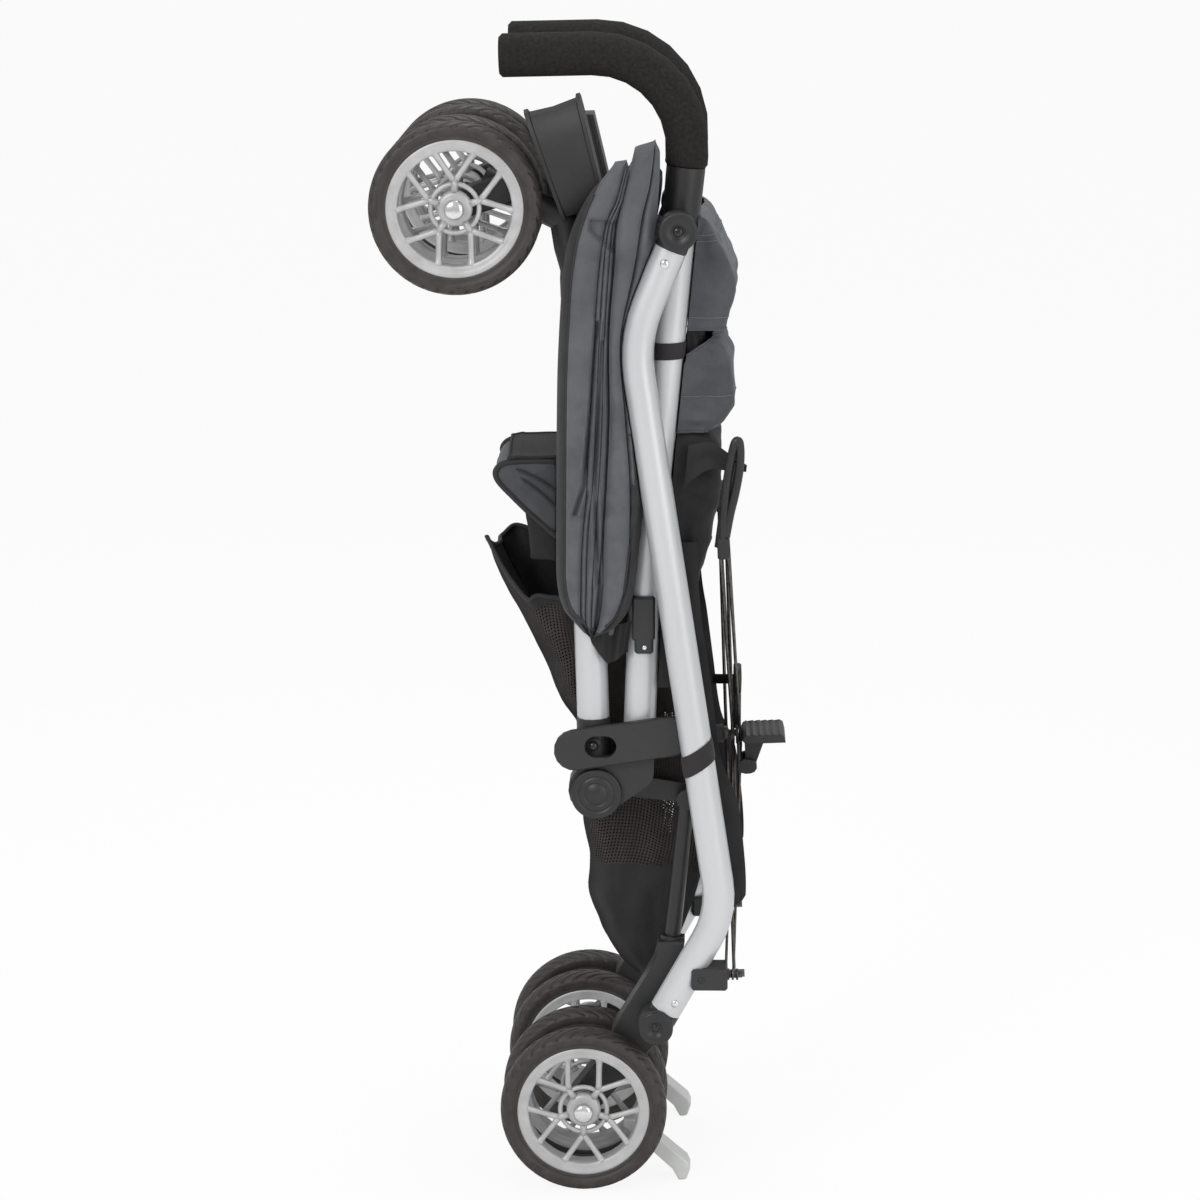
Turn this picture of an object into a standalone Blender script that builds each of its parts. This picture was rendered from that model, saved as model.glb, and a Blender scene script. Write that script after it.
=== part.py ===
"""Compact umbrella stroller, folded and standing on its rear wheels.

Units are metres, +Z is up, +X is the rear of the stroller and -Y is its left side.
The origin is on the floor, under the middle of the folded stroller.
Every length is a named value at the top, and the pieces take their places from these.
"""

import math

import bmesh
import bpy
from mathutils import Matrix, Vector

# Clearances
GAP = 0.0003
RUN = 0.0008

# Wheels
WHEEL_R = 0.076
TYRE_W = 0.028
RIM_R = 0.060
RIM_INNER_R = 0.0515
RIM_W = 0.020
HUB_R = 0.0215
HUB_FACE_R = 0.0155
SPOKE_W = 0.0036
SPOKE_T = 0.010
SPOKES = 5
AXLE_R = 0.004
NUT_R = 0.0065
WHEEL_STEPS = 24

# Frame across the stroller
PAIR_Y = 0.088
WHEEL_SPACING = 0.064
TUBE_R = 0.0145
FRONT_Y = PAIR_Y
LEG_GAP = 0.001
LEG_Y = FRONT_Y + 2 * TUBE_R + LEG_GAP

# Joint centres seen from the side, as (x, z)
REAR_AXLE = (0.002, WHEEL_R)
FRONT_AXLE = (-0.1096, 0.900)
HANDLE_PIVOT = (0.0842, 0.8816)
HUB_PIVOT = (0.0123, 0.3722)
HOUSING_PIVOT = (0.0677, 0.1579)
STRUT_TOP = (0.0950, 0.3612)

# Rear leg tube, as bend corners from the handle pivot down to the rear housing
LEG_TOP = (0.0785, 0.8640)
LEG_UPPER_BEND = (0.0460, 0.7850)
LEG_LOWER_BEND = (0.1275, 0.2620)
LEG_END = (0.0765, 0.1700)
LEG_UPPER_BEND_R = 0.120
LEG_LOWER_BEND_R = 0.085

# Push tube
PUSH_TOP = (0.0868, 0.8830)
PUSH_BEND = (0.0565, 0.5600)
PUSH_END = (0.0520, 0.4300)
PUSH_BEND_R = 0.300

# Handle
GRIP_R = 0.0193
GRIP_Z = 1.0341
GRIP_FRONT_X = -0.0722
GRIP_BEND_R = 0.082
GRIP_LOW_Z = 0.9340
SLEEVE_R = 0.0176
SLEEVE_LOW_Z = 0.8830

# Front tube and hub
SOCKET_WALL = 0.0016
FRONT_TOP_X = -0.0035
FRONT_TOP_Z = 0.8350
FRONT_LOW_Z = 0.4260
HUB_DISC_R = 0.0245
HUB_SPLIT_Y = 0.0892
HUB_CAP_R = 0.0140
ELBOW_BEND = (0.0495, 0.3880)
ELBOW_R = 0.0155

# Front housing and caster
CASTER_LEAN_DEG = 26.1
CASTER_TRAIL = 0.030
CASTER_STEM_R = 0.0125
CASTER_SPLIT = 0.048
FORK_W = 0.030
CUP_W = 0.046
CUP_LIP = 1.06
CUP_HALF_W = CUP_W / 2 * CUP_LIP
CUP_CLEAR_Z = 0.8500

# Rear housing and brake
HOUSING_W = 0.030
HOUSING_DISC_R = 0.0160
STRUT_R = 0.0075
SOCKET_TOP = (0.0822, 0.2290)
BRAKE_W = 0.026
BRAKE_PIVOT = (0.0420, 0.0560)
BRAKE_TIP = (0.0975, 0.0085)
BRAKE_T = 0.013

# Side link between the hub and the strut
LINK_T = 0.0030
LINK_H = 0.018

# Cross brace behind the legs
BRACE_LOW_Z = 0.2030
BRACE_HIGH_Z = 0.5980
BRACE_END_Y = 0.1120
BRACE_X = 0.1310
BRACE_LEAN_DEG = 2.26
BRACE_STEP = 0.0060
WIRE_R = 0.0018
EYE_R = 0.0075
BRACE_PIN_R = 0.0032
LEVER_R = 0.0050
LEVER_BEND = (0.0060, 0.0370)
LEVER_TOP = (0.0172, 0.0785)

# Foot pedal
PEDAL_PIVOT = (0.1520, 0.3720)
PEDAL_W = 0.060
PEDAL_FRONT_X = 0.1450
PEDAL_REAR_X = 0.1854
PEDAL_TOP_Z = 0.4050
PEDAL_T = 0.0085
PEDAL_RIDGES = 6

# Fold latch
LATCH_T = 0.0090
LATCH_FRONT_X = -0.0250
LATCH_REAR_X = 0.0990
LATCH_NOSE_Z = 0.4105
LATCH_TAIL_Z = 0.4240
LATCH_H = 0.0370
LATCH_Z = 0.4115
PEG_X = 0.0114
PEG_R = 0.0055
PEG_PROUD = 0.0016
SLOT_L = 0.0290
SLOT_LEAD = 0.0032
SLOT_H = 0.0200

# Canopy
CANOPY_CLAMP_Z = 0.5290
CANOPY_LOW_Z = 0.4880
CANOPY_TOP_Z = 0.9460
CANOPY_LOBE_Z = 0.8650
CANOPY_LOBE_X = 0.0580
CANOPY_REAR_X = 0.0460
CANOPY_FRONT_X = -0.0205
CANOPY_T = 0.0235
CANOPY_PLEAT = 0.0030
CANOPY_PLEATS = 4

# Seat and basket
SEAT_HALF_W = 0.0980
BASKET_HALF_W = 0.0655
BASKET_REAR_X = 0.1180

SIDES = {"left": -1, "right": 1}


def clear_scene():
    """Remove whatever the open file holds."""
    for obj in list(bpy.data.objects):
        bpy.data.objects.remove(obj, do_unlink=True)


def material(name, colour, roughness, metallic=0.0):
    """A Principled material with one colour."""
    mat = bpy.data.materials.get(name) or bpy.data.materials.new(name)
    mat.use_nodes = True
    shader = mat.node_tree.nodes["Principled BSDF"]
    shader.inputs["Base Color"].default_value = (*colour, 1)
    shader.inputs["Roughness"].default_value = roughness
    shader.inputs["Metallic"].default_value = metallic
    return mat


def silver():
    return material("silver_tube", (0.62, 0.63, 0.64), 0.35, 0.7)


def black_plastic():
    return material("black_plastic", (0.035, 0.035, 0.037), 0.5)


def grey_plastic():
    return material("grey_plastic", (0.55, 0.56, 0.55), 0.45)


def foam():
    return material("foam", (0.028, 0.025, 0.025), 0.95)


def rubber():
    return material("rubber", (0.035, 0.030, 0.027), 0.75)


def rim_paint():
    return material("rim_paint", (0.50, 0.50, 0.50), 0.4, 0.4)


def steel():
    return material("steel", (0.20, 0.19, 0.18), 0.35, 0.9)


def canopy_cloth():
    return material("canopy_cloth", (0.075, 0.080, 0.095), 0.8)


def black_cloth():
    return material("black_cloth", (0.018, 0.016, 0.017), 0.9)


def finish(bm, name, mat, smooth_deg=35):
    """Turn a bmesh into a shaded object."""
    bmesh.ops.recalc_face_normals(bm, faces=bm.faces)
    mesh = bpy.data.meshes.new(name)
    bm.to_mesh(mesh)
    bm.free()
    obj = bpy.data.objects.new(name, mesh)
    bpy.context.scene.collection.objects.link(obj)
    mesh.materials.append(mat)
    mesh.shade_smooth()
    mesh.set_sharp_from_angle(angle=math.radians(smooth_deg))
    return obj


def baked(obj):
    """Replace an object's mesh by its evaluated one, and drop its modifiers."""
    graph = bpy.context.evaluated_depsgraph_get()
    mesh = bpy.data.meshes.new_from_object(obj.evaluated_get(graph))
    obj.modifiers.clear()
    obj.data = mesh
    mesh.shade_smooth()
    mesh.set_sharp_from_angle(angle=math.radians(35))
    return obj


def combine(base, others, operation):
    """Apply one exact Boolean for each of the other objects, then remove them."""
    for other in others:
        step = base.modifiers.new(operation.lower(), "BOOLEAN")
        step.operation = operation
        step.solver = "EXACT"
        step.object = other
        bpy.context.view_layer.update()
        baked(base)
        bpy.data.objects.remove(other, do_unlink=True)
    return base


def join(base, others):
    return combine(base, others, "UNION")


def cut(base, others):
    return combine(base, others, "DIFFERENCE")


def side_point(point, y):
    """A point given from the side, at a distance across the stroller."""
    return Vector((point[0], y, point[1]))


def line_at(a, b, z):
    """The point at height z on the line through two side points."""
    t = (z - a[1]) / (b[1] - a[1])
    return (a[0] + (b[0] - a[0]) * t, z)


def fillet(before, corner, after, radius, steps):
    """Points of the arc that rounds a corner of a bent tube."""
    back = (before - corner).normalized()
    ahead = (after - corner).normalized()
    half = back.angle(ahead) / 2
    reach = radius / math.tan(half)
    middle = corner + (back + ahead).normalized() * (radius / math.sin(half))
    start = corner + back * reach - middle
    end = corner + ahead * reach - middle
    swing = start.angle(end)
    points = []
    for i in range(steps + 1):
        t = i / steps
        a = math.sin((1 - t) * swing) / math.sin(swing)
        b = math.sin(t * swing) / math.sin(swing)
        points.append(middle + start * a + end * b)
    return points


def bent_path(corners, radii, steps=5):
    """A path with straight runs and round bends, through corner points."""
    points = [corners[0]]
    for i, radius in enumerate(radii, start=1):
        points += fillet(corners[i - 1], corners[i], corners[i + 1], radius, steps)
    points.append(corners[-1])
    return points


def sweep(name, path, radii, mat, sides=12, smooth_deg=40):
    """A closed round bar along a path, with one radius for each point or one for all."""
    if not isinstance(radii, (list, tuple)):
        radii = [radii] * len(path)
    bm = bmesh.new()
    rings = []
    normal = None
    for i, point in enumerate(path):
        ahead = path[min(i + 1, len(path) - 1)]
        back = path[max(i - 1, 0)]
        tangent = (ahead - back).normalized()
        if normal is None:
            seed = Vector((0, 1, 0)) if abs(tangent.y) < 0.9 else Vector((1, 0, 0))
            normal = seed
        normal = (normal - tangent * normal.dot(tangent)).normalized()
        across = tangent.cross(normal)
        ring = []
        for k in range(sides):
            a = math.tau * k / sides
            offset = normal * math.cos(a) + across * math.sin(a)
            ring.append(bm.verts.new(point + offset * radii[i]))
        rings.append(ring)
    for low, high in zip(rings, rings[1:]):
        for k in range(sides):
            j = (k + 1) % sides
            bm.faces.new((low[k], low[j], high[j], high[k]))
    bm.faces.new(rings[0][::-1])
    bm.faces.new(rings[-1])
    return finish(bm, name, mat, smooth_deg)


def lathe(name, profile, centre, axis, mat, steps=20):
    """A closed turned piece: profile holds (distance along axis, radius) points."""
    turn = Vector(axis).normalized().to_track_quat("Z", "Y").to_matrix()
    bm = bmesh.new()
    rings = []
    for along, radius in profile:
        ring = []
        for k in range(steps):
            a = math.tau * k / steps
            local = Vector((radius * math.cos(a), radius * math.sin(a), along))
            ring.append(bm.verts.new(Vector(centre) + turn @ local))
        rings.append(ring)
    for low, high in zip(rings, rings[1:]):
        for k in range(steps):
            j = (k + 1) % steps
            bm.faces.new((low[k], low[j], high[j], high[k]))
    bm.faces.new(rings[0][::-1])
    bm.faces.new(rings[-1])
    return finish(bm, name, mat)


def turned_ring(name, profile, centre, axis, mat, steps=WHEEL_STEPS):
    """A closed ring: the profile is a closed loop of (along, radius) points."""
    turn = Vector(axis).normalized().to_track_quat("Z", "Y").to_matrix()
    bm = bmesh.new()
    rings = []
    for k in range(steps):
        a = math.tau * k / steps
        ring = []
        for along, radius in profile:
            local = Vector((radius * math.cos(a), radius * math.sin(a), along))
            ring.append(bm.verts.new(Vector(centre) + turn @ local))
        rings.append(ring)
    count = len(profile)
    for k in range(steps):
        here = rings[k]
        there = rings[(k + 1) % steps]
        for i in range(count):
            j = (i + 1) % count
            bm.faces.new((here[i], here[j], there[j], there[i]))
    return finish(bm, name, mat)


def slab(name, outline, y_low, y_high, mat, bevel=0.0):
    """An outline seen from the side, extruded across the stroller."""
    bm = bmesh.new()
    low = [bm.verts.new((x, y_low, z)) for x, z in outline]
    high = [bm.verts.new((x, y_high, z)) for x, z in outline]
    count = len(outline)
    for k in range(count):
        j = (k + 1) % count
        bm.faces.new((low[k], low[j], high[j], high[k]))
    ends = [bm.faces.new(low[::-1]), bm.faces.new(high)]
    if bevel:
        edges = {edge for face in ends for edge in face.edges}
        bmesh.ops.bevel(bm, geom=list(edges), offset=bevel, segments=1, affect="EDGES")
    return finish(bm, name, mat, 30)


def block(name, low, high, mat, bevel=0.0):
    """A box between two corners, with its edges broken if asked."""
    bm = bmesh.new()
    bmesh.ops.create_cube(bm, size=1)
    size = [b - a for a, b in zip(low, high)]
    middle = [(a + b) / 2 for a, b in zip(low, high)]
    bmesh.ops.scale(bm, vec=size, verts=bm.verts)
    bmesh.ops.translate(bm, vec=middle, verts=bm.verts)
    if bevel:
        bmesh.ops.bevel(bm, geom=list(bm.edges), offset=bevel, segments=1, affect="EDGES")
    return finish(bm, name, mat, 30)


def loft(name, rings, mat, smooth_deg=60):
    """A closed skin through rings of equal point counts."""
    bm = bmesh.new()
    made = [[bm.verts.new(point) for point in ring] for ring in rings]
    count = len(rings[0])
    for low, high in zip(made, made[1:]):
        for k in range(count):
            j = (k + 1) % count
            bm.faces.new((low[k], low[j], high[j], high[k]))
    bm.faces.new(made[0][::-1])
    bm.faces.new(made[-1])
    return finish(bm, name, mat, smooth_deg)


def arc_points(centre, radius, start_deg, end_deg, steps):
    """Points of an arc seen from the side, as (x, z)."""
    points = []
    for i in range(steps + 1):
        a = math.radians(start_deg + (end_deg - start_deg) * i / steps)
        points.append((centre[0] + radius * math.cos(a), centre[1] + radius * math.sin(a)))
    return points


def capsule(a, b, radius_a, radius_b, steps=6):
    """The outline of two discs and their common tangents, seen from the side."""
    heading = math.degrees(math.atan2(b[1] - a[1], b[0] - a[0]))
    apart = math.dist(a, b)
    lean = math.degrees(math.asin((radius_a - radius_b) / apart))
    first = arc_points(a, radius_a, heading + 90 - lean, heading + 270 + lean, steps)
    second = arc_points(b, radius_b, heading - 90 + lean, heading + 90 - lean, steps)
    return first + second


# Wheels

def tyre_profile():
    """Half the tyre width each way: flat tread, round shoulders and a bead."""
    half = TYRE_W / 2
    bead = RIM_W / 2
    seat = RIM_R + GAP
    return [
        (-bead, seat),
        (-half, seat + 0.0035),
        (-half * 0.94, WHEEL_R - 0.0050),
        (-half * 0.58, WHEEL_R),
        (half * 0.58, WHEEL_R),
        (half * 0.94, WHEEL_R - 0.0050),
        (half, seat + 0.0035),
        (bead, seat),
    ]


def tyre_mesh():
    obj = turned_ring("tyre", tyre_profile(), (0, 0, 0), (0, 1, 0), rubber())
    mesh = obj.data
    bpy.data.objects.remove(obj)
    return mesh


def spoke_arm(root_r, root_deg, end_r, end_deg):
    """One straight arm of a forked spoke, from the hub ring to the rim."""
    a = Vector((root_r * math.cos(math.radians(root_deg)), 0, root_r * math.sin(math.radians(root_deg))))
    b = Vector((end_r * math.cos(math.radians(end_deg)), 0, end_r * math.sin(math.radians(end_deg))))
    along = (b - a).normalized()
    across = Vector((0, 1, 0)).cross(along) * (SPOKE_W / 2)
    outline = [a - across, b - across, b + across, a + across]
    return slab("spoke", [(p.x, p.z) for p in outline], -SPOKE_T / 2, SPOKE_T / 2, rim_paint())


def rim_mesh():
    """Rim ring, hub and forked spokes in one piece, bored for the axle."""
    half = RIM_W / 2
    ring_profile = [
        (-half, RIM_R),
        (half, RIM_R),
        (half, RIM_R - 0.0035),
        (half * 0.75, RIM_INNER_R),
        (-half * 0.75, RIM_INNER_R),
        (-half, RIM_R - 0.0035),
    ]
    hub_half = half + 0.001
    hub_profile = [
        (-hub_half, HUB_FACE_R),
        (-SPOKE_T / 2 - 0.001, HUB_R),
        (SPOKE_T / 2 + 0.001, HUB_R),
        (hub_half, HUB_FACE_R),
        (hub_half, AXLE_R + RUN),
        (-hub_half, AXLE_R + RUN),
    ]
    rim = turned_ring("rim", ring_profile, (0, 0, 0), (0, 1, 0), rim_paint())
    hub = turned_ring("hub", hub_profile, (0, 0, 0), (0, 1, 0), rim_paint(), 15)
    arms = []
    step = 360 / SPOKES
    for k in range(SPOKES):
        middle = 90 + k * step
        for turn in (-1, 1):
            root_deg = middle + turn * 3
            end_deg = middle + turn * step / 4
            arms.append(spoke_arm(HUB_R - 0.002, root_deg, RIM_INNER_R + 0.003, end_deg))
    join(rim, [hub] + arms)
    mesh = rim.data
    bpy.data.objects.remove(rim)
    return mesh


def add_wheel(label, centre, turn_deg, meshes):
    """A rim and its tyre, with their origins on the axle."""
    for kind in ("tyre", "rim"):
        obj = bpy.data.objects.new(label + "_" + kind, meshes[kind])
        bpy.context.scene.collection.objects.link(obj)
        obj.location = centre
        obj.rotation_euler = (0, math.radians(turn_deg), 0)


def add_wheels():
    meshes = {"tyre": tyre_mesh(), "rim": rim_mesh()}
    turns = {"rear": 180, "front": 0}
    for side, s in SIDES.items():
        for end, axle in (("rear", REAR_AXLE), ("front", FRONT_AXLE)):
            for place, shift in (("inner", -0.5), ("outer", 0.5)):
                y = s * (PAIR_Y + shift * WHEEL_SPACING)
                label = end + "_wheel_" + side + "_" + place
                add_wheel(label, side_point(axle, y), turns[end], meshes)


def axle_pin(axle, y_centre, mat):
    """A through axle with domed nuts, across one pair of wheels."""
    reach = WHEEL_SPACING / 2 + RIM_W / 2 + 0.001
    profile = [
        (-reach - 0.0065, 0.0025),
        (-reach - 0.0045, NUT_R - 0.001),
        (-reach - RUN, NUT_R),
        (-reach - RUN, AXLE_R),
        (reach + RUN, AXLE_R),
        (reach + RUN, NUT_R),
        (reach + 0.0045, NUT_R - 0.001),
        (reach + 0.0065, 0.0025),
    ]
    return lathe("axle", profile, side_point(axle, y_centre), (0, 1, 0), mat, 12)


# Rear legs

def leg_corners(y):
    return [side_point(p, y) for p in (LEG_TOP, LEG_UPPER_BEND, LEG_LOWER_BEND, LEG_END)]


def leg_path(y):
    return bent_path(leg_corners(y), [LEG_UPPER_BEND_R, LEG_LOWER_BEND_R])


def leg_x(z):
    """Where the leg's centreline is at height z, along its long straight run."""
    return line_at(LEG_UPPER_BEND, LEG_LOWER_BEND, z)[0]


def rear_leg(side, s):
    sweep("rear_leg_" + side, leg_path(s * LEG_Y), TUBE_R, silver())


def leg_cap(side, s):
    """Pivot plug on top of the leg: a plug over the tube's end and a round pivot face."""
    y = s * LEG_Y
    top = side_point(LEG_TOP, y)
    below = side_point(LEG_UPPER_BEND, y)
    down = (below - top).normalized()
    start = top - down * GAP
    plug = sweep("leg_cap_" + side, [start, start - down * 0.012], [TUBE_R, TUBE_R], black_plastic())
    inner = FRONT_Y + SLEEVE_R + RUN
    outer = LEG_Y + TUBE_R + 0.004
    profile = [(inner, 0.0165), (outer - 0.002, 0.0165), (outer, 0.0145)]
    face = lathe("face", profile, side_point(HANDLE_PIVOT, 0), (0, s, 0), black_plastic(), 18)
    recess_profile = [(outer - 0.0015, 0.0065), (outer + 0.002, 0.0065)]
    recess = lathe("recess", recess_profile, side_point(HANDLE_PIVOT, 0), (0, s, 0), black_plastic(), 12)
    join(plug, [face])
    cut(plug, [recess])


def leg_foot(side, s):
    """Lug at the lower end of the leg, round the housing pivot."""
    y = s * LEG_Y
    end = side_point(LEG_END, y)
    down = (end - side_point(LEG_LOWER_BEND, y)).normalized()
    plug = sweep("leg_foot_" + side, [end + down * GAP * 2, end + down * 0.010], TUBE_R, black_plastic())
    inner = abs(y) - TUBE_R + 0.001
    outer = abs(y) + TUBE_R + 0.003
    profile = [(inner, HOUSING_DISC_R), (outer - 0.002, HOUSING_DISC_R), (outer, HOUSING_DISC_R - 0.002)]
    face = lathe("face", profile, side_point(HOUSING_PIVOT, 0), (0, s, 0), black_plastic(), 18)
    recess_profile = [(outer - 0.0015, 0.0045), (outer + 0.002, 0.0045)]
    recess = lathe("recess", recess_profile, side_point(HOUSING_PIVOT, 0), (0, s, 0), black_plastic(), 6)
    tube = sweep("tube", leg_path(y)[:-1] + [end + down * GAP], TUBE_R + GAP, silver())
    join(plug, [face])
    cut(plug, [recess, tube])


def leg_axis_at(z):
    """Centre of the leg on its lowest run, at height z."""
    return line_at(LEG_LOWER_BEND, LEG_END, z)


def brace_bracket(side, s):
    """Clamp on the lower leg that faces the cross brace."""
    y = s * LEG_Y
    centre = leg_axis_at(BRACE_LOW_Z + 0.002)
    sink = (brace_mid_z() - BRACE_LOW_Z) * math.tan(math.radians(BRACE_LEAN_DEG))
    face_x = BRACE_X + sink - EYE_R + 0.0015
    low = (centre[0] + 0.004, y - TUBE_R - 0.003, BRACE_LOW_Z - 0.010)
    high = (face_x, y + TUBE_R + 0.003, BRACE_LOW_Z + 0.010)
    body = block("brace_bracket_" + side, low, high, black_plastic(), 0.002)
    tube = sweep("tube", leg_path(y), TUBE_R + GAP, silver())
    cut(body, [tube])


# Push tubes and handles

def push_path(y):
    corners = [side_point(p, y) for p in (PUSH_TOP, PUSH_BEND, PUSH_END)]
    return bent_path(corners, [PUSH_BEND_R])


def push_x(z):
    if z > PUSH_BEND[1]:
        return line_at(PUSH_TOP, PUSH_BEND, z)[0]
    return line_at(PUSH_BEND, PUSH_END, z)[0]


def push_tube(side, s):
    sweep("push_tube_" + side, push_path(s * FRONT_Y), TUBE_R, silver())


def grip_path(y):
    foot = line_at(PUSH_TOP, PUSH_BEND, GRIP_LOW_Z)
    corner = line_at(PUSH_TOP, PUSH_BEND, GRIP_Z)
    start = (GRIP_FRONT_X, GRIP_Z - 0.004)
    corners = [side_point(start, y), side_point(corner, y), side_point(foot, y)]
    return bent_path(corners, [GRIP_BEND_R], 7)


def handle_grip(side, s):
    """Foam grip: level, then bent down into the sleeve, with rounded ends."""
    path = grip_path(s * FRONT_Y)
    nose = (path[1] - path[0]).normalized()
    tail = (path[-1] - path[-2]).normalized()
    full = [path[0], path[0] + nose * 0.003] + path[1:-1] + [path[-1] - tail * 0.003, path[-1]]
    radii = [GRIP_R - 0.003] + [GRIP_R] * (len(full) - 2) + [GRIP_R - 0.002]
    sweep("handle_grip_" + side, full, radii, foam(), 14)


def handle_sleeve(side, s):
    """Plastic sleeve between the grip and the push tube."""
    y = s * FRONT_Y
    top = side_point(line_at(PUSH_TOP, PUSH_BEND, GRIP_LOW_Z - GAP * 2), y)
    low = side_point(line_at(PUSH_TOP, PUSH_BEND, SLEEVE_LOW_Z + GAP), y)
    drop = (low - top)
    path = [top, top + drop * 0.08, top + drop * 0.75, low]
    radii = [SLEEVE_R, SLEEVE_R, SLEEVE_R - 0.0005, TUBE_R + 0.0012]
    sweep("handle_sleeve_" + side, path, radii, black_plastic(), 14)


def hub_elbow(side, s):
    """Lower fitting of the push tube: a socket, a web and the outer half of the hub."""
    low_y = HUB_SPLIT_Y + RUN
    high_y = FRONT_Y + TUBE_R + 0.0005
    top = (line_at(PUSH_BEND, PUSH_END, PUSH_END[1])[0], PUSH_END[1] - GAP)
    socket = [side_point(top, s * FRONT_Y), side_point((top[0] - 0.0006, top[1] - 0.018), s * FRONT_Y)]
    elbow = sweep("hub_elbow_" + side, socket, [TUBE_R + 0.0006, TUBE_R - 0.001], black_plastic())
    outline = capsule(HUB_PIVOT, ELBOW_BEND, HUB_DISC_R, ELBOW_R, 10)
    ys = sorted((s * low_y, s * high_y))
    plate = slab("plate", outline, ys[0], ys[1], black_plastic())
    neck_outline = capsule(ELBOW_BEND, (top[0] - 0.0006, top[1] - TUBE_R - 0.0005), ELBOW_R, TUBE_R - 0.0005, 6)
    ys = sorted((s * (FRONT_Y - TUBE_R + 0.002), s * high_y))
    neck = slab("neck", neck_outline, ys[0], ys[1], black_plastic())
    face = high_y + 0.0012
    cap_profile = [(high_y - 0.003, HUB_CAP_R), (face, HUB_CAP_R - 0.0010)]
    cap = lathe("cap", cap_profile, side_point(HUB_PIVOT, 0), (0, s, 0), black_plastic(), 18)
    join(elbow, [plate, neck, cap])
    swing = [(FRONT_Y - TUBE_R - 0.004, HUB_DISC_R + RUN), (HUB_SPLIT_Y + RUN, HUB_DISC_R + RUN)]
    room = lathe("room", swing, side_point(HUB_PIVOT, 0), (0, s, 0), black_plastic(), 24)
    cut(elbow, [room, knuckle_room(s, high_y)])


def knuckle_room(s, high_y):
    """The room that the front tube's socket needs in the elbow, beyond the hub disc."""
    low = side_point(front_line(HUB_PIVOT[1] + 0.010), s * FRONT_Y)
    top = side_point(front_line(FRONT_LOW_Z + 0.015), s * FRONT_Y)
    room = sweep("socket_room", [low, top], TUBE_R + SOCKET_WALL + RUN, black_plastic(), 14)
    profile = [(FRONT_Y - TUBE_R - 0.010, HUB_DISC_R), (high_y + 0.004, HUB_DISC_R)]
    disc = lathe("disc_room", profile, side_point(HUB_PIVOT, 0), (0, s, 0), black_plastic(), 24)
    return cut(room, [disc])


def canopy_clamp(side, s):
    """Plate and latch tab on the push tube that hold the canopy bows."""
    y = s * FRONT_Y
    x = push_x(CANOPY_CLAMP_Z)
    half_w = 0.0105
    outer = LEG_Y - 0.0105
    ys = sorted((y, s * outer))
    low = (x - half_w, ys[0], CANOPY_CLAMP_Z - 0.018)
    high = (x + half_w, ys[1], CANOPY_CLAMP_Z + 0.022)
    plate = block("canopy_clamp_" + side, low, high, black_plastic(), 0.002)
    tab_low = (x - 0.008, ys[0], CANOPY_CLAMP_Z - 0.030)
    tab_high = (x + 0.009, ys[1], CANOPY_CLAMP_Z - 0.010)
    tab = block("tab", tab_low, tab_high, black_plastic(), 0.002)
    tube = sweep("tube", push_path(y), TUBE_R + GAP, silver())
    cut(join(plate, [tab]), [tube])


# Front tubes

def front_line(z):
    """Centreline of the front tube: a straight line from the hub."""
    return line_at(HUB_PIVOT, (FRONT_TOP_X, FRONT_TOP_Z), z)


def front_tube(side, s):
    y = s * FRONT_Y
    path = [side_point(front_line(FRONT_LOW_Z), y), side_point(front_line(FRONT_TOP_Z), y)]
    sweep("front_tube_" + side, path, TUBE_R, silver())


def front_knuckle(side, s):
    """Socket under the front tube and the inner half of the hub, with the latch peg."""
    y = s * FRONT_Y
    top_z = FRONT_LOW_Z + 0.011
    socket_r = TUBE_R + SOCKET_WALL - 0.0004
    path = [side_point(front_line(top_z), y), side_point(front_line(HUB_PIVOT[1] + 0.010), y)]
    knuckle = sweep("front_knuckle_" + side, path, [socket_r, socket_r - 0.0008], black_plastic(), 14)
    inner = FRONT_Y - TUBE_R
    profile = [(inner, HUB_DISC_R - 0.001), (inner + 0.002, HUB_DISC_R), (HUB_SPLIT_Y, HUB_DISC_R)]
    disc = lathe("disc", profile, side_point(HUB_PIVOT, 0), (0, s, 0), black_plastic(), 20)
    join(knuckle, [disc])
    swing = [(HUB_SPLIT_Y, HUB_DISC_R + RUN), (FRONT_Y + TUBE_R + 0.006, HUB_DISC_R + RUN)]
    room = lathe("room", swing, side_point(HUB_PIVOT, 0), (0, s, 0), black_plastic(), 24)
    bore_low = side_point(front_line(FRONT_LOW_Z - GAP), y)
    bore_high = side_point(front_line(top_z + 0.01), y)
    bore = sweep("bore", [bore_low, bore_high], TUBE_R + GAP, black_plastic())
    cut(knuckle, [room, bore])
    if side == "left":
        base = FRONT_Y + TUBE_R - 0.003
        tip = LEG_Y - TUBE_R + 0.0005 + PEG_PROUD
        peg_profile = [(base, PEG_R), (tip - 0.001, PEG_R), (tip, PEG_R - 0.0015)]
        peg = lathe("peg", peg_profile, (PEG_X, 0, LATCH_Z + 0.004), (0, s, 0), black_plastic(), 12)
        join(knuckle, [peg])


def caster_axis():
    """Direction of the swivel axis, towards the floor when the stroller is in use."""
    lean = math.radians(CASTER_LEAN_DEG)
    return Vector((-math.cos(lean), 0, math.sin(lean)))


def caster_foot(y):
    """The point on the swivel axis beside the front axle."""
    axis = caster_axis()
    offset = Vector((axis.z, 0, -axis.x))
    return side_point(FRONT_AXLE, y) + offset * CASTER_TRAIL


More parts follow.
